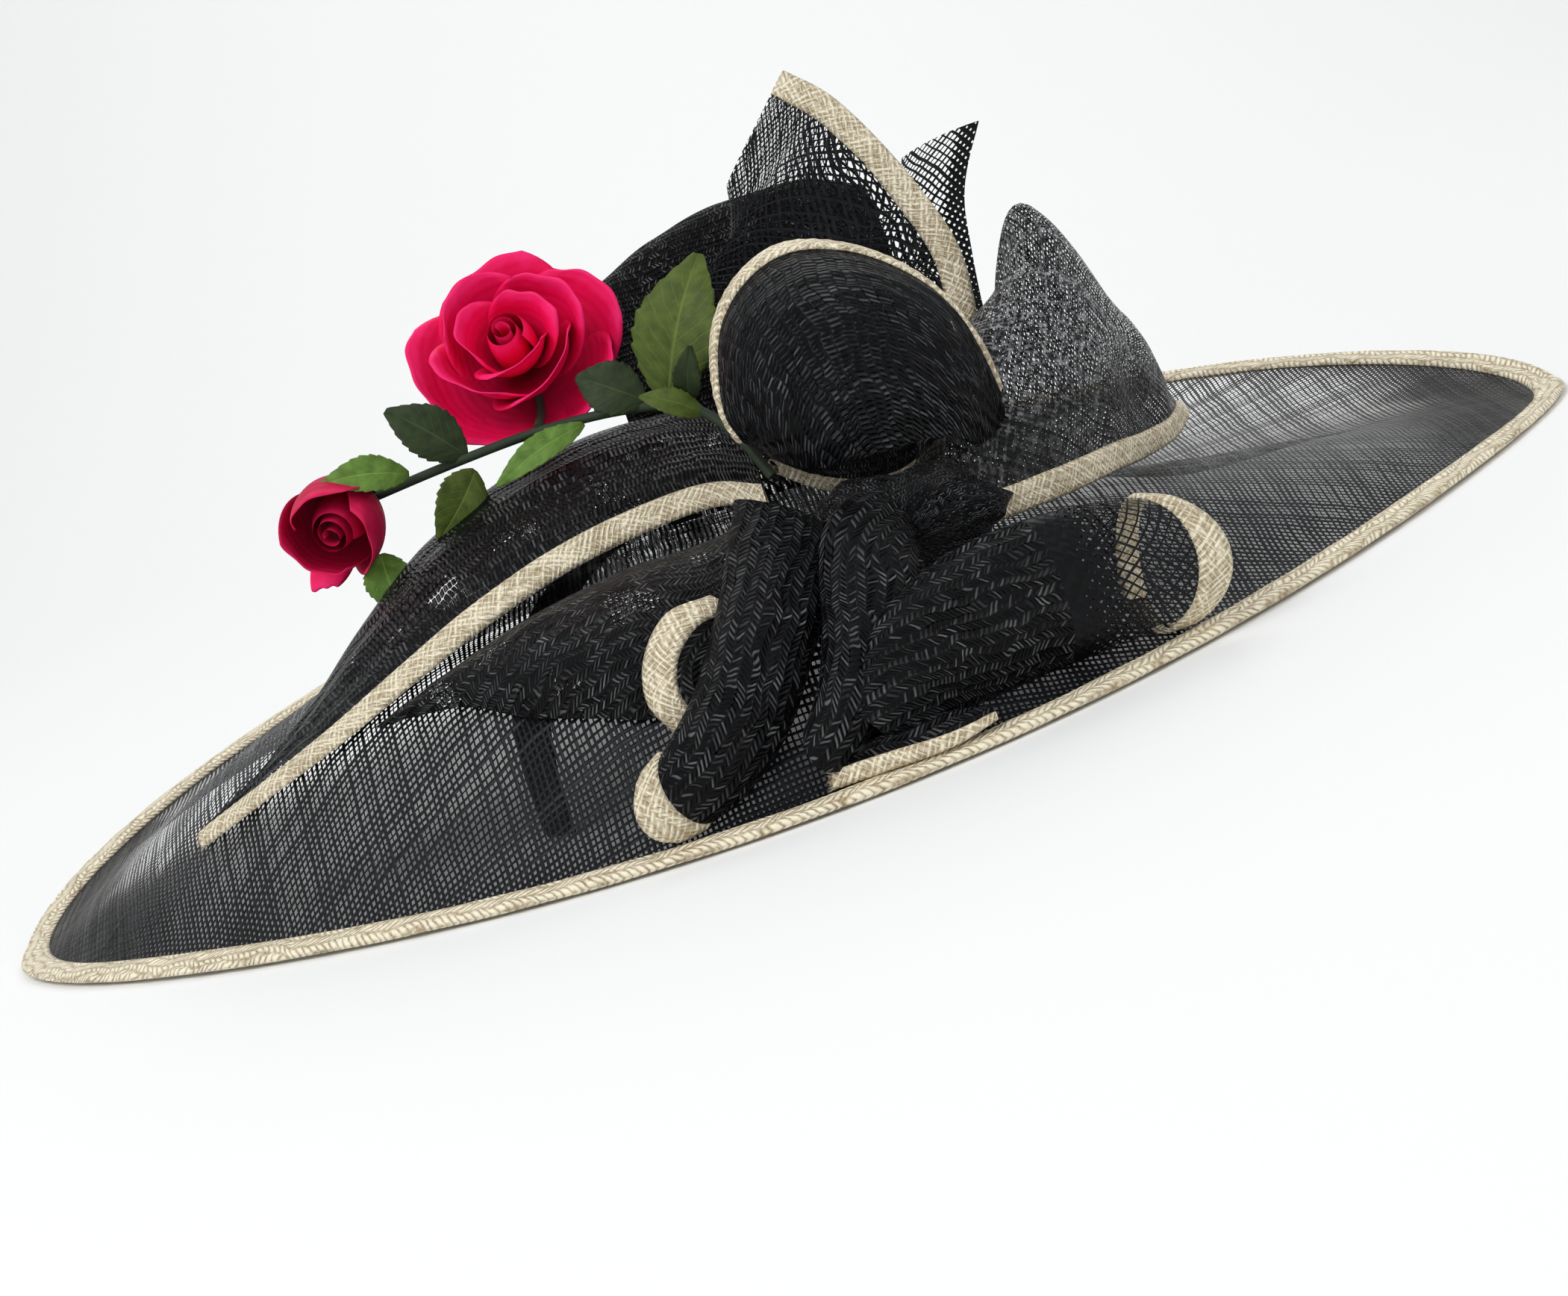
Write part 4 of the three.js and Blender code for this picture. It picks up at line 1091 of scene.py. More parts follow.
    def hem(self, angles: np.ndarray) -> np.ndarray:
        """How far the mesh is shut: along the rim, more at the tips, and on a soft ridge round the near side.

        Args:
            angles: the grid's angles.

        Returns:
            One share for each of its points.
        """
        from_rim = np.array([self.span(a) * (1 - self.mesh_shares(a)) for a in angles])
        tip = np.abs(np.cos(angles))[:, None] ** 8 * self.hem_tip
        near = np.clip(-np.sin(angles), 0, 1)[:, None]
        across = np.linspace(0, 1, from_rim.shape[1])[None, :]
        ridge = np.exp(-((across - 0.5) / 0.06) ** 2) * near * 0.25
        return np.clip((self.hem_width + tip - from_rim) / self.hem_fade, 0, 1) * self.hem_share + ridge

    def build_crown(self) -> None:
        """Builds the low rounded crown."""
        steps = 28
        grid = []
        for a in np.linspace(0, FULL_TURN, 121):
            foot = self.section_height(0, a)
            for lift in np.linspace(0, math.pi / 2, steps):
                x = self.crown_centre + self.crown_half[0] * math.cos(a) * math.cos(lift)
                y = self.crown_half[1] * math.sin(a) * math.cos(lift)
                grid.append((x, y, foot + (self.crown_top - foot) * math.sin(lift)))
        points = np.array(grid)
        crown = grid_piece("hat_crown", points.reshape(-1, steps, 3), uv=points[:, :2])
        set_attribute(crown, "hem", np.zeros(len(points)))
        self.dress(crown, "crown", Slot.SINAMAY, "crown")


@dataclass
class Headband(Piece):
    """The stiff band that arches under the crown from side to side.

    Args:
        end_a: its near end in plan, in millimetres.
        end_b: its far end.
        foot: height of its ends.
        apex: height of its middle.
        square: how square its arch is, 2 for an ellipse.
        top: its width in the middle.
        end: its width at the ends.
        flat: width and length of the cut cloth; not used.
    """

    end_a: tuple[float, float] = (-80.0, -116.0)
    end_b: tuple[float, float] = (20.0, 26.0)
    foot: float = 1.2
    apex: float = 69.0
    square: float = 2.6
    top: float = 18.0
    end: float = 11.0
    flat: tuple[float, float] = (18.0, 255.0)

    def build(self) -> None:
        """Builds the band with soft rounded edges."""
        a, b = np.array(self.end_a), np.array(self.end_b)
        middle, reach = (a + b) / 2, (b - a) / 2
        across = np.array([-reach[1], reach[0], 0]) / np.linalg.norm(reach)
        power = 2 / self.square
        steps, columns = 61, 9
        grid = []
        for angle in np.linspace(0, math.pi, steps):
            side = -math.copysign(abs(math.cos(angle)) ** power, math.cos(angle))
            rise = max(math.sin(angle), 0.0) ** power
            centre = np.array([*(middle + reach * side), self.foot + (self.apex - self.foot) * rise])
            half = (self.end + (self.top - self.end) * rise) / 2
            grid.append([centre + across * half * t for t in np.linspace(-1, 1, columns)])
        band = self.fold("headband", np.array(grid), HEADBAND_FOLD, edge=columns // 2)


@dataclass
class Strip(Piece):
    """A bent strip of stiff weave: two edge lines and how far it bulges between them.

    Args:
        node: the CAD node's name.
        rows: near edge point, far edge point and bulge, row after row.
        flat: width and length of the cut cloth in millimetres; not used.
        finish: the wardrobe's finish.
        bound: whether the near edge carries a cream binding.
        bound_width: the binding's width.
        waves: height of the soft unevenness.
        pleats: lengthwise pleats over its width.
        pleat_depth: their height.
        cut: the cut's share of its rectangle, where it isn't one; not used.
        taper: the binding's width at the last row, as a share.
        reach_share: most of the strip's width that its binding takes.
        frayed: the binding's ends that are cut and frayed, 0 the first and -1 the last.
        turned: whether the weave's rows run across instead of along.
        dense_foot: width of the closer mesh along the near edge, 0 without one.
    """

    node: str = ""
    rows: tuple[Row, ...] = ()
    flat: tuple[float, float] = (80.0, 150.0)
    finish: str = "sheer"
    bound: bool = True
    bound_width: float = 8.5
    waves: float = 0.5
    pleats: int = 0
    pleat_depth: float = 0.0
    cut: float | None = None
    taper: float = 1.0
    reach_share: float = 0.6
    frayed: tuple[int, ...] = ()
    turned: bool = False
    dense_foot: float = 0.0

    def lines(self, along: int, fine: int) -> np.ndarray:
        """Sections from the near edge over the bulge to the far edge.

        Args:
            along: how many sections.
            fine: points on each.

        Returns:
            The grid of points; each section is an arc of a circle.
        """
        shares = np.linspace(0, 1, along)
        near = spline([row[0] for row in self.rows], shares)
        far = spline([row[1] for row in self.rows], shares)
        bulges = spline([(row[2], 0, 0) for row in self.rows], shares)[:, 0]
        travel = tangents(near) + tangents(far)
        found = []
        for i, bulge in enumerate(bulges):
            chord = far[i] - near[i]
            half = np.linalg.norm(chord) / 2
            opening = max(0.0, math.pi / 2 - 2 * math.atan(abs(bulge) / half))
            angle = np.linspace(opening, math.pi - opening, fine)
            across = -np.cos(angle) / math.cos(opening) * half
            rise = (np.sin(angle) - math.sin(opening)) / (1 - math.sin(opening)) * bulge
            found.append((near[i] + far[i]) / 2 + np.outer(across, chord / (2 * half))
                         + np.outer(rise, unit(np.cross(travel[i], chord))))
        return np.array(found)

    def build(self) -> None:
        """Builds the strip and, where it has one, the binding of its near edge."""
        along, fine, across, tuck = 90, 80, 44, 2.0
        lines = self.lines(along, fine)
        grid = []
        for line in lines:
            reach = arc(line)[-1]
            room = min(self.bound_width - tuck, reach * 0.5) if self.bound else 0.0
            grid.append(respaced(line, np.linspace(room, reach, across)))
        grid = np.array(grid)
        if self.pleats:
            v = np.linspace(0, 1, across)
            push = np.abs(np.sin(math.pi * self.pleats * v)) * self.pleat_depth * np.sin(math.pi * v) ** 0.5
            grid = grid + normals(grid) * push[None, :, None]
        grid = ripple(grid, self.waves, (2.2, 1.3), len(self.node) + 7)
        places = grid_uv(grid)
        cloth = grid_piece(f"hat_{self.node}", grid, uv=places[:, ::-1] if self.turned else places)
        set_attribute(cloth, "hem", self.hem(grid))
        self.dress(cloth, self.finish, Slot.SINAMAY, self.node)
        hems = self.build_binding(lines) if self.bound else []

    def hem(self, grid: np.ndarray) -> np.ndarray:
        """How far the mesh is shut along its far edge and, where it has one, along its dense foot."""
        edge_width, edge_fade, edge_share, foot_share = 5.0, 3.0, 0.3, 0.55
        from_near = np.array([arc(row) for row in grid])
        from_far = from_near[:, -1:] - from_near
        shut = np.clip((edge_width - from_far) / edge_fade, 0, 1) * edge_share
        if self.dense_foot:
            foot = np.clip((self.dense_foot - from_near) / (self.dense_foot / 2), 0, 1)
            shut = np.maximum(shut, foot * foot_share)
        return shut

    def build_binding(self, lines: np.ndarray) -> list[bpy.types.Object]:
        """Folds the cream strip over the near edge, and frays its cut ends.

        Args:
            lines: the strip's sections.

        Returns:
            The binding and its frayed ends.
        """
        overhang, side_gap = 0.3, 0.4
        band = []
        for share, line in zip(np.linspace(0, 1, len(lines)), lines):
            room = min(self.bound_width, arc(line)[-1] * self.reach_share)
            room *= 1 + (self.taper - 1) * share ** 2
            row = respaced(line, np.linspace(0, room, 9))
            row[0] = line[0] - overhang * unit(line[1] - line[0])
            band.append(row)
        band = respace_rows(np.array(band), 2.0)
        hems = [self.fold(f"{self.node}_binding", band, BINDING_FOLD)]
        for end in self.frayed:
            outward = unit(band[end].mean(0) - band[1 if end == 0 else -2].mean(0))
            edge = respaced(band[end], np.linspace(side_gap, arc(band[end])[-1] - side_gap, 22))
            name = f"hat_{self.node}_fray_{end + 1}"
            fibres = self.wardrobe.frayed.grow(name, edge, outward, 3.2, self.wardrobe["binding"])
            self.dress(fibres, None, Slot.BINDING)
            hems.append(fibres)
        return hems


@dataclass
class Roll(Piece):
    """A strip rolled into a tube that opens at both ends.

    Args:
        node: the CAD node's name.
        rows: centre, half width across and half depth, row after row.
        flat: width and length of the cut cloth in millimetres; not used.
        bound: whether its mouth carries a cream binding.
        bound_width: the binding's width.
        creases: lengthwise creases round the tube.
        crease_depth: their depth as a share of the tube's half width.
        mouth: how far the mouth's upper lip runs on.
        open_from: share of the length from which the weave is an open net.
    """

    node: str = ""
    rows: tuple[Ring, ...] = ()
    flat: tuple[float, float] = (60.0, 100.0)
    bound: bool = True
    bound_width: float = 10.5
    creases: int = 3
    crease_depth: float = 0.06
    mouth: float = 6.0
    open_from: float = 1.0

    def lines(self, along: int, around: int) -> np.ndarray:
        """Rings along the tube; each ring's first point comes again at its end.

        Args:
            along: how many rings.
            around: points on each.

        Returns:
            The grid of points.
        """
        shares = np.linspace(0, 1, along)
        middle = spline([row[0] for row in self.rows], shares)
        size = spline([(*row[1], 0) for row in self.rows], shares)
        travel = tangents(middle)
        angle = np.linspace(0, FULL_TURN, around)
        found = []
        for i, share in enumerate(shares):
            front = np.array([0.0, -1.0, 0.0])
            front -= travel[i] * front.dot(travel[i])
            front /= np.linalg.norm(front)
            side = np.cross(travel[i], front)
            sharp = (0.5 + 0.5 * np.cos(self.creases * angle + 2.42 * share)) ** 6
            crease = 1 - self.crease_depth * sharp * math.sin(math.pi * min(1.0, share * 1.1)) * 2.2
            reach = self.mouth * share ** 3 * (1.6 * np.maximum(np.sin(angle), 0) - 0.6)
            found.append(middle[i] + np.outer(size[i, 0] * np.cos(angle) * crease, side)
                         + np.outer(reach, travel[i]) + np.outer(size[i, 1] * np.sin(angle) * crease, front))
        return np.array(found)

    def build(self) -> None:
        """Builds the tube and, where it has one, the binding of its mouth."""
        along, around, front_column, tuck, net_fade = 70, 61, 15, 2.0, 0.2
        rings = self.lines(along, around)
        reach = arc(rings[:, front_column])
        keep = len(rings)
        if self.bound:
            keep = max(4, int(np.searchsorted(reach, reach[-1] - self.bound_width + tuck)))
        body = grid_piece(f"hat_{self.node}", rings[:keep])
        closing = np.clip(1 - (np.linspace(0, 1, keep) - self.open_from) / net_fade, 0, 1)
        set_attribute(body, "hem", np.repeat(closing, around))
        self.dress(body, "bias", Slot.SINAMAY, self.node)
        body.data.materials.append(self.wardrobe["net"])
        first_open = int(self.open_from * keep) * (around - 1)
        for face in body.data.polygons[first_open:]:
            face.material_index = 1
        if self.bound:
            start = int(np.searchsorted(reach, reach[-1] - self.bound_width))
            band = rings[start:].transpose(1, 0, 2)
            self.fold(f"{self.node}_binding", band, BINDING_FOLD, edge=-1)


@dataclass
class Knot(Piece):
    """The gathered folds where the strips meet.

    Args:
        centre: its middle in millimetres.
        half: its half sizes.
        folds: how many folds run round it.
        depth: their height as a share of its size.
        flat: width and length of the cut cloth; not used.
    """

    centre: Point = (39.0, -129.0, 51.0)
    half: Point = (35.0, 17.0, 19.5)
    folds: int = 7
    depth: float = 0.07
    flat: tuple[float, float] = (95.0, 75.0)

    def build(self) -> None:
        """Builds the folds as a pleated cushion of weave."""
        turns, leans = np.linspace(0, FULL_TURN, 121), np.linspace(0.03, math.pi - 0.03, 41)
        grid = []
        for turn in turns:
            row = []
            for lean in leans:
                x, y, z = math.sin(lean) * math.cos(turn), math.cos(lean), math.sin(lean) * math.sin(turn)
                off_axis = math.hypot(x, z)
                fold = 1 + self.depth * math.cos(self.folds * turn) * off_axis
                fold -= 0.05 * abs(math.sin(1.5 * self.folds * turn + 3 * y)) * off_axis
                row.append([c + d * h * f for c, d, h, f in zip(
                    self.centre, (x, y, z), self.half, (fold, 1.0, fold))])
            grid.append(row)
        folds = grid_piece("hat_knot", np.array(grid)[::-1])
        set_attribute(folds, "hem", np.zeros(len(turns) * len(leans)))
        self.dress(folds, "dense", Slot.SINAMAY, "knot")


@dataclass
class Bloom(Piece):
    """A cloth bloom: a tight heart and rings of petals about an axis.

    Args:
        name: first word of its pieces' names.
        centre: where its axis starts.
        facing: the axis.
        heart: half sizes of its heart.
        rings: name, count, turn, root, belly, tip, width and flat size of each ring's petals.
        finishes: the wardrobe's finish of each ring, the heart's last.
        slot: the record's slot.
        lip: how far the petals' lips turn out.
        seed: fixes the petals' waves.
    """

    name: str = "rose"
    centre: Point = (0.0, 0.0, 0.0)
    facing: Point = (0.0, -1.0, 0.0)
    heart: Point = (8.5, 8.5, 13.0)
    rings: tuple[dict, ...] = ()
    finishes: tuple[str, ...] = ("rose",)
    slot: Slot = Slot.ROSE
    lip: float = 3.2
    seed: int = 3

    def placed(self, grid: np.ndarray) -> np.ndarray:
        """Moves a grid from the bloom's frame, which looks along its third axis, into the hat's."""
        facing = Vector(self.facing).normalized()
        right = -(Vector((0, 0, 1)).cross(facing)).normalized()
        up = -(facing.cross(right))
        return grid @ np.array((right, up, facing)) + np.array(self.centre)

    def petal(self, ring: dict, number: int) -> np.ndarray:
        """Points of one petal, with its lip rolled outward and its edge in soft waves.

        Args:
            ring: the petal's ring.
            number: its place in the ring.

        Returns:
            The grid of points.
        """
        rng = np.random.default_rng(self.seed * 100 + number + int(ring["width"]))
        phase = rng.uniform(0, FULL_TURN, 3)
        root, belly, tip = (np.array(ring[key], float) for key in ("root", "belly", "tip"))
        turn = math.radians(ring["turn"]) + FULL_TURN * number / ring["count"]
        steps, columns, cup = 26, 27, 7.0
        grid = []
        for share in np.linspace(0, 1, steps):
            radius, height = (1 - share) ** 2 * root + 2 * share * (1 - share) * belly + share ** 2 * tip
            half = ring["width"] / 2 * math.sin(math.pi * (0.1 + 0.78 * share)) ** 0.6
            roll = max(0.0, (share - 0.78) / 0.22) ** 2
            row = []
            for side in np.linspace(-1, 1, columns):
                edge = max(roll, max(0.0, (abs(side) - 0.75) / 0.25) ** 2 * share)
                angle = turn + side * half / (radius + cup)
                wave = 0.9 * share * math.sin(3 * side + phase[0])
                wave += 0.5 * share ** 2 * math.sin(7 * side + phase[1])
                reach = radius + 2.2 * side * share + edge * self.lip * 0.5 + wave * 0.6
                lift = height - 2 * side * side * share - edge * self.lip * 0.35 + wave * 0.5
                row.append((reach * math.cos(angle), reach * math.sin(angle), lift))
            grid.append(row)
        return self.placed(np.array(grid))

    def heart_grid(self) -> np.ndarray:
        """Points of a tightly wound band that closes over the bloom's middle."""
        steps, columns, winds = 150, 18, 2.6
        grid = []
        for t in np.linspace(0, 1, steps):
            angle = t * FULL_TURN * winds
            wide = self.heart[0] * (0.12 + 0.88 * t)
            row = []
            for share in np.linspace(0, 1, columns):
                height = -self.heart[2] * 0.7 + share * (self.heart[2] * (1.72 - 0.22 * t))
                round_in = math.sqrt(max(0.0, 1 - (abs(2 * share - 1)) ** 3 * 0.55))
                lip = 0.9 * max(0.0, (share - 0.82) / 0.18) ** 2
                reach = wide * round_in + lip + 0.35 * math.sin(3 * angle * 0.61)
                row.append((reach * math.cos(angle), reach * math.sin(angle), height))
            grid.append(row)
        return self.placed(np.array(grid))

    def build(self) -> None:
        """Builds the heart and every petal as its own piece."""
        grid = self.heart_grid()
        heart = grid_piece(f"hat_{self.name}_heart", grid)
        set_attribute(heart, "blade", np.tile(np.linspace(0.25, 1.0, grid.shape[1]), len(grid)))
        self.dress(heart, self.finishes[-1], self.slot, f"{self.name}_heart")
        for ring, finish in zip(self.rings, self.finishes):
            for number in range(ring["count"]):
                node = f"{ring['name']}_{number + 1}"
                grid = self.petal(ring, number)
                petal = grid_piece(f"hat_{node}", grid)
                set_attribute(petal, "blade", np.repeat(np.linspace(0, 1, len(grid)), grid.shape[1]))
                solidify(petal, CLOTH_WALL_MM)
                self.dress(petal, finish, self.slot, node)


@dataclass
class Leaf(Piece):
    """A cloth leaf with a folded midrib and a toothed edge.

    Args:
        node: the CAD node's name.
        base: where it leaves the stem.
        tip: its tip.
        width: its full width.
        arch: how far it arches.
        roll: its turn about its length in degrees.
        finish: the wardrobe's finish.
        teeth: teeth along each edge.
    """

    node: str = ""
    base: Point = (0.0, 0.0, 0.0)
    tip: Point = (0.0, 0.0, 0.0)
    width: float = 10.0
    arch: float = 2.0
    roll: float = 0.0
    finish: str = "leaf"
    teeth: int = 9

    def build(self) -> None:
        """Builds the blade."""
        base, tip = Vector(self.base), Vector(self.tip)
        length = tip - base
        across = length.cross(Vector((0, -1, 0))).normalized()
        across.rotate(Matrix.Rotation(math.radians(self.roll), 3, length.normalized()))
        face = across.cross(length).normalized()
        shares, sides = np.linspace(0, 1, 50), np.linspace(-1, 1, 21)
        grid = []
        for share in shares:
            half = max(0.5, self.width / 2 * math.sin(math.pi * (0.04 + 0.92 * share ** 0.85)))
            half *= 0.93 + 0.1 * ((self.teeth * share) % 1.0)
            spine = base.lerp(tip, float(share)) + face * (self.arch * math.sin(math.pi * share))
            row = []
            for side in sides:
                wave = 0.35 * math.sin(9 * share + 3 * side) * abs(side)
                lift = abs(side) * half * 0.2 - 0.12 * half * side * side + wave
                row.append(tuple(spine + across * (side * half) + face * lift))
            grid.append(row)
        leaf = grid_piece(f"hat_{self.node}", np.array(grid))
        set_attribute(leaf, "blade", np.repeat(shares, len(sides)))
        set_attribute(leaf, "side", np.tile(sides, len(shares)))
        solidify(leaf, CLOTH_WALL_MM)
        self.dress(leaf, self.finish, Slot.LEAF, self.node)


@dataclass
class Stalk(Piece):
    """A wrapped wire stem along a path.

    Args:
        node: the CAD node's name.
        path: its points in millimetres.
        radius: its radius.
    """

    node: str = "stem"
    path: tuple[Point, ...] = ()
    radius: float = 1.5

    def build(self) -> None:
        """Sweeps the stem with a geometry node tree."""
        steps = 60
        mesh = bpy.data.meshes.new(f"hat_{self.node}")
        points = spline(self.path, np.linspace(0, 1, steps)) * MM
        mesh.from_pydata(points.tolist(), [(k, k + 1) for k in range(steps - 1)], [])
        stalk = link(f"hat_{self.node}", mesh)
        values = {"Radius": self.radius * MM, "Joint Size": 0.5, "Material": self.wardrobe["stem"]}
        self.wardrobe.stalk.run(stalk, values)
        self.dress(stalk, None, Slot.STEM, self.node)


# The hat's own tables

STRIPS = (
    dict(node="swag_leaf", finish="ribbed", flat=(88, 205), waves=0.6, pleats=5, pleat_depth=1.2,
         bound_width=9.5, reach_share=0.95, frayed=(0,), rows=(
        ((-184, -88, 30), (-184, -79.5, 33), 1), ((-159, -101, 39), (-162, -72, 41), 3),
        ((-130, -113, 49), (-140, -54, 50), 8), ((-103, -120, 59), (-118, -38, 61), 14),
        ((-77, -117, 67), (-94, -24, 71), 20), ((-52, -109, 72), (-66, -12, 80), 22),
        ((-26, -102, 74), (-38, -8, 86), 20), ((-4, -104, 74), (-8, -14, 88), 16),
        ((10, -115, 70), (10, -36, 84), 12))),
    dict(node="swag_roll", finish="bias", flat=(52, 110), waves=0.4, bound=False, rows=(
        ((10, -119, 70), (0, -152, 52), 6), ((-9, -122, 68), (-19, -158, 46), 7),
        ((-34, -117, 68), (-37, -167, 34), 13), ((-60, -120, 65), (-55, -160, 38), 13),
        ((-82, -124, 61), (-75, -149, 44), 9),
        ((-102, -124, 56), (-90, -137, 50), 5), ((-118, -121, 51), (-110, -124, 51), 1))),
    dict(node="curl_left", finish="bias", flat=(14, 42), waves=0.2, bound_width=10.5, rows=(
        ((-15, -160, 59), (-7, -164, 50), 1), ((-27, -163, 59), (-10, -168, 44), 3),
        ((-37, -167, 50), (-13, -171, 38), 4), ((-40, -172, 39), (-16, -174, 32), 4),
        ((-36, -176, 30), (-20, -177, 27), 1))),
    dict(node="tail_front", finish="bias", flat=(10, 52), cut=0.7, waves=0.1, bound_width=5.0, taper=0.4,
         frayed=(0,), rows=(
        ((-1, -197, 5), (2, -191, 11), 1), ((16, -199, 5), (16, -192, 13), 2),
        ((33, -199, 5), (32, -192, 13), 2), ((46, -196, 7), (45, -189, 10), 1))),
    dict(node="hood_loop", finish="ribbed", flat=(50, 120), turned=True, waves=0.4, pleats=9,
         pleat_depth=0.8, rows=(
        ((8, -118, 94), (12, -122, 88), -2), ((8, -110, 109), (17, -129, 83), -7),
        ((14, -104, 124), (26, -134, 78), -12), ((25, -101, 134), (36, -137, 77), -15),
        ((39, -100, 138), (47, -138, 76), -16), ((56, -101, 132), (58, -135, 75), -15),
        ((72, -105, 118), (69, -129, 70), -11), ((81, -110, 100), (76, -122, 64), -6),
        ((84, -115, 86), (81, -117, 62), -2))),
    dict(node="hood_inner", finish="dense", flat=(55, 75), waves=0.4, bound_width=6.0, rows=(
        ((16, -112, 78), (12, -96, 100), -2), ((26, -110, 69), (22, -80, 118), -5),
        ((37, -108, 63), (35, -74, 127), -7), ((49, -108, 61), (52, -74, 124), -7),
        ((62, -110, 66), (68, -81, 111), -5), ((74, -112, 74), (79, -92, 97), -2))),
    dict(node="tall_loop", finish="sheer", flat=(125, 135), waves=0.7, rows=(
        ((86, -65, 73), (83, -3, 69), 80), ((93, -52, 114), (92, 0, 109), 86),
        ((88, -46, 137), (86, -2, 134), 80), ((80, -41, 158), (78, -4, 154), 78),
        ((72, -37, 173), (70, -7, 168), 66), ((62, -33, 184), (60, -12, 180), 38))),
    dict(node="back_arch", finish="dense", flat=(100, 125), waves=0.4, bound=False, rows=(
        ((-22, 4, 88), (-20, 32, 88), 51), ((4, 4, 88), (6, 32, 88), 60), ((30, 4, 88), (31, 32, 88), 64),
        ((58, 4, 88), (58, 32, 88), 62), ((78, 4, 88), (78, 30, 88), 53))),
    dict(node="fin", finish="sheer", flat=(20, 125), waves=0.3, dense_foot=10.0, bound=False, rows=(
        ((95, 7, 34), (86, 15, 38), 2), ((98, 8, 60), (84, 17, 60), 4), ((100, 9, 84), (84, 19, 84), 5),
        ((103, 10, 107), (85, 22, 109), 6), ((108, 12, 128), (87, 24, 130), 6),
        ((120, 14, 147), (93, 24, 144), 5))),
    dict(node="right_loop", finish="mottled", flat=(125, 138), waves=0.7, dense_foot=34.0, rows=(
        ((52, -140, 46), (54, -56, 50), 18), ((72, -129, 45), (72, -46, 49), 46),
        ((93, -112, 42.5), (88, -36, 49), 56), ((111, -90, 40), (90, -26, 50), 79),
        ((124, -68, 37), (119, -12, 50), 38.5), ((138, -47, 36), (124, -4, 48), 17.5),
        ((146, -32, 38), (130, 2, 42), 8))),
)
ROLLS = (
    dict(node="roll_left", flat=(76, 95), rows=(
        ((14, -140, 69), (16, 3.5)), ((6, -155, 58), (16, 8)), ((-5, -170, 44), (14.5, 10)),
        ((-17, -181, 30), (14, 9)), ((-31, -187, 20), (13, 8)), ((-47, -189, 14), (10, 7)))),
    dict(node="fold_middle", flat=(58, 98), bound=False, rows=(
        ((41, -132, 64), (4, 4)), ((37, -143, 60), (11, 6)), ((31, -156, 53), (15, 8)),
        ((24, -171, 38), (14, 9)), ((13, -184, 24), (11, 7)), ((0, -192, 14), (8, 5)))),
    dict(node="trumpet_right", flat=(88, 106), open_from=0.62, mouth=9.0, rows=(
        ((14, -190, 14), (8, 5)), ((34, -181, 25), (18, 9)), ((54, -175, 29), (21, 12)),
        ((73, -171, 29), (21, 13)), ((92, -167, 27), (20, 14)), ((110, -162, 23), (18, 14)))),
)
ROSE_RINGS = (
    dict(name="rose_inner_petal", count=3, turn=20, root=(1.5, -9), belly=(13, -1), tip=(13, 14),
         width=52, flat=(35, 25)),
    dict(name="rose_middle_petal", count=4, turn=55, root=(2, -12), belly=(21, -6), tip=(21, 12),
         width=62, flat=(47, 31)),
    dict(name="rose_outer_petal", count=5, turn=10, root=(5, -15), belly=(27, -14), tip=(32, 1),
         width=64, flat=(53, 34)),
)
BUD_RINGS = (
    dict(name="bud_petal", count=3, turn=80, root=(2, -12), belly=(20, -7), tip=(12, 14),
         width=60, flat=(40, 31)),
    dict(name="bud_fallen_petal", count=1, turn=-52, root=(5, -13), belly=(20, -13), tip=(25, -2),
         width=17, flat=(13, 25)),
)
BLOOMS = (
    dict(name="rose", centre=(-46, -40, 134), facing=(-0.05, -0.8, 0.6), heart=(8.5, 8.5, 13),
         rings=ROSE_RINGS, finishes=("rose", "rose", "rose", "rose")),
    dict(name="bud", centre=(-113, -62, 105), facing=(-0.25, -0.9, -0.2), heart=(9.2, 9.2, 12),
         rings=BUD_RINGS, finishes=("bud", "rose", "bud"), slot=Slot.BUD, lip=2.0, seed=5),
)
LEAVES = (
    ("leaf_olive", (-7, -85, 105.5), (17, -80, 143), 27, 5, -25, "leaf"),
    ("leaf_dark_right", (-13, -79, 108), (-30, -70, 121), 17, 2, 10, "leaf_dark"),
    ("leaf_small_lower", (2, -98, 100), (-14, -94, 111), 9, 2, 30, "leaf"),
    ("leaf_small_upper", (-1, -92, 104), (5, -98, 120), 9, 2, -20, "leaf_dark"),
    ("leaf_rose_left", (-70, -62, 110), (-88, -60, 131), 17, 3, 20, "leaf_dark"),
    ("leaf_pointing", (-88, -64, 111), (-113, -70, 118), 12, 4, 25, "leaf_bright"),
    ("leaf_hanging", (-69, -64, 105), (-86, -72, 90), 17, 3, -15, "leaf"),
    ("leaf_under_rose", (-33, -68.5, 107), (-64, -72, 99), 10, 3, 30, "leaf_bright"),
    ("leaf_under_bud", (-105, -62, 91), (-106, -68, 73), 15, 2, 0, "leaf_bright"),
)
STALKS = (
    ("stem", ((14, -116, 78), (8, -108, 93), (-2, -92, 103), (-20, -74, 107), (-47, -62, 109),
              (-75, -62, 109), (-108.5, -52.5, 106.8))),
    ("rose_stalk", ((-46.5, -61.5, 110), (-45, -43, 113), (-44, -28, 121), (-44, -23, 135))),
)


# Studio

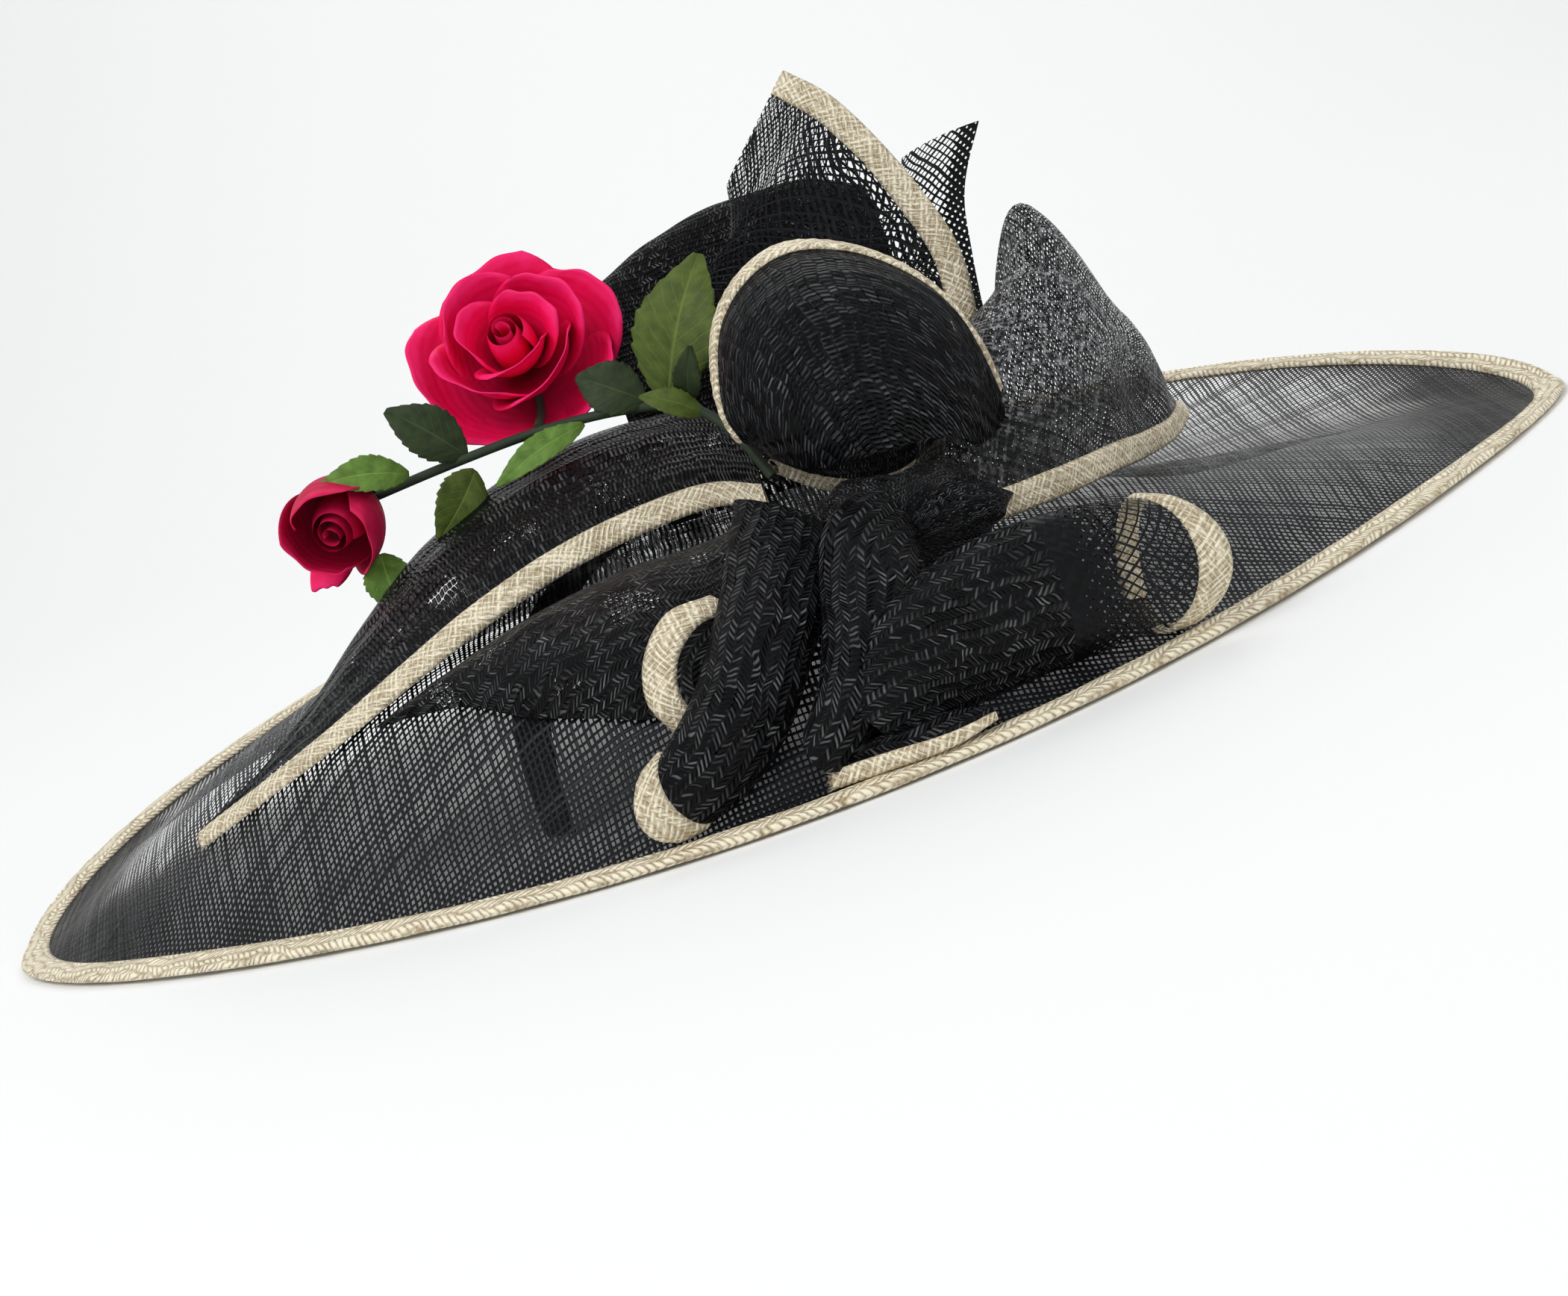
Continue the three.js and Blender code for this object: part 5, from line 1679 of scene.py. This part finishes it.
@dataclass
class Studio:
    """Pale sweep, soft lights and the camera at the photograph's angle.

    Args:
        wardrobe: the shared finishes.
        camera_at: the camera's place in metres.
        pitch: how far it looks down in degrees.
        roll: its turn about its own axis in degrees.
        focal_px: focal length in pixels of a picture IMAGE_WIDTH_PX wide.
        lamps: name, place in metres, size in metres and power in watts of each light.
        aim: the point that the lights face.
    """

    wardrobe: Wardrobe
    camera_at: Point = (-0.0003, -0.9323, 0.1827)
    pitch: float = 10.6
    roll: float = 20.6
    focal_px: float = 3838.4
    lamps: tuple[tuple[str, Point, float, float], ...] = (
        ("key", (-0.9, -0.9, 1.5), 1.1, 15.0), ("fill", (1.2, -0.8, 0.9), 1.2, 4.0),
        ("rim", (0.2, 1.3, 1.4), 1.2, 7.0))
    aim: Point = (0.0, 0.0, 0.06)

    def build(self) -> None:
        """Sets up the whole studio."""
        self.build_sweep()
        for name, place, size, power in self.lamps:
            self.build_light(name, place, size, power)
        self.build_world()
        self.build_camera()
        bpy.context.scene.view_settings.view_transform = "Standard"

    def build_sweep(self) -> None:
        """A floor that curves up into a backdrop, in metres before it is scaled for its mesh."""
        front, bend_at, radius, top, half_width = -2.5, 1.0, 0.8, 3.5, 3.0
        profile = [(front, 0.0), (bend_at, 0.0)]
        profile += [(bend_at + math.sin(a) * radius, radius - math.cos(a) * radius)
                    for a in np.linspace(0.05, math.pi / 2, 24)]
        profile.append((bend_at + radius, top))
        grid = np.array([[(x, y, z) for y, z in profile] for x in (half_width, -half_width)]) / MM
        sweep = grid_piece("studio_sweep", grid)
        sweep.data.materials.append(self.wardrobe["paper"])

    def build_light(self, name: str, place: Point, size: float, power: float) -> None:
        """One soft area light aimed at the hat.

        Args:
            name: its name.
            place: where it hangs in metres.
            size: its width in metres.
            power: its power in watts.
        """
        lamp = bpy.data.lights.new(name, "AREA")
        lamp.size, lamp.energy = size, power
        holder = link(name, lamp)
        holder.location = place
        holder.rotation_euler = (Vector(self.aim) - Vector(place)).to_track_quat("-Z", "Y").to_euler()

    def build_world(self) -> None:
        """Even pale surroundings."""
        world = bpy.context.scene.world or bpy.data.worlds.new("studio")
        bpy.context.scene.world = world
        world.use_nodes = True
        background = world.node_tree.nodes["Background"]
        background.inputs["Color"].default_value = (0.97, 0.985, 1.0, 1)
        background.inputs["Strength"].default_value = 0.62

    def build_camera(self) -> None:
        """The camera, turned by its pitch and then by its roll."""
        pitch, roll = math.radians(self.pitch), math.radians(self.roll)
        forward = Vector((0, math.cos(pitch), -math.sin(pitch)))
        upright = Vector((0, math.sin(pitch), math.cos(pitch)))
        right = Vector((math.cos(roll), 0, 0)) - upright * math.sin(roll)
        up = Vector((math.sin(roll), 0, 0)) + upright * math.cos(roll)
        data = bpy.data.cameras.new("camera")
        data.sensor_fit, data.sensor_width = "HORIZONTAL", SENSOR_MM
        data.lens = self.focal_px / IMAGE_WIDTH_PX * SENSOR_MM
        data.clip_start, data.clip_end = 0.02, 20.0
        camera = link("camera", data)
        matrix = Matrix((right, up, -forward)).transposed().to_4x4()
        matrix.translation = Vector(self.camera_at)
        camera.matrix_world = matrix
        bpy.context.scene.camera = camera


def main() -> None:
    """Builds the classes in order, and closes the frame."""
    logging.basicConfig(level=logging.INFO, format="%(name)s %(message)s")
    wardrobe = Wardrobe()
    parts: list[Piece] = [Brim(wardrobe), Headband(wardrobe), Knot(wardrobe)]
    parts += [Strip(wardrobe, **table) for table in STRIPS]
    parts += [Roll(wardrobe, **table) for table in ROLLS]
    parts += [Bloom(wardrobe, **table) for table in BLOOMS]
    parts += [Leaf(wardrobe, node=node, base=base, tip=tip, width=width, arch=arch, roll=roll, finish=finish)
              for node, base, tip, width, arch, roll, finish in LEAVES]
    parts += [Stalk(wardrobe, node=node, path=path) for node, path in STALKS]
    for part in parts:
        part.build()
        part.report()
    Studio(wardrobe).build()


if __name__ == "__main__":
    main()
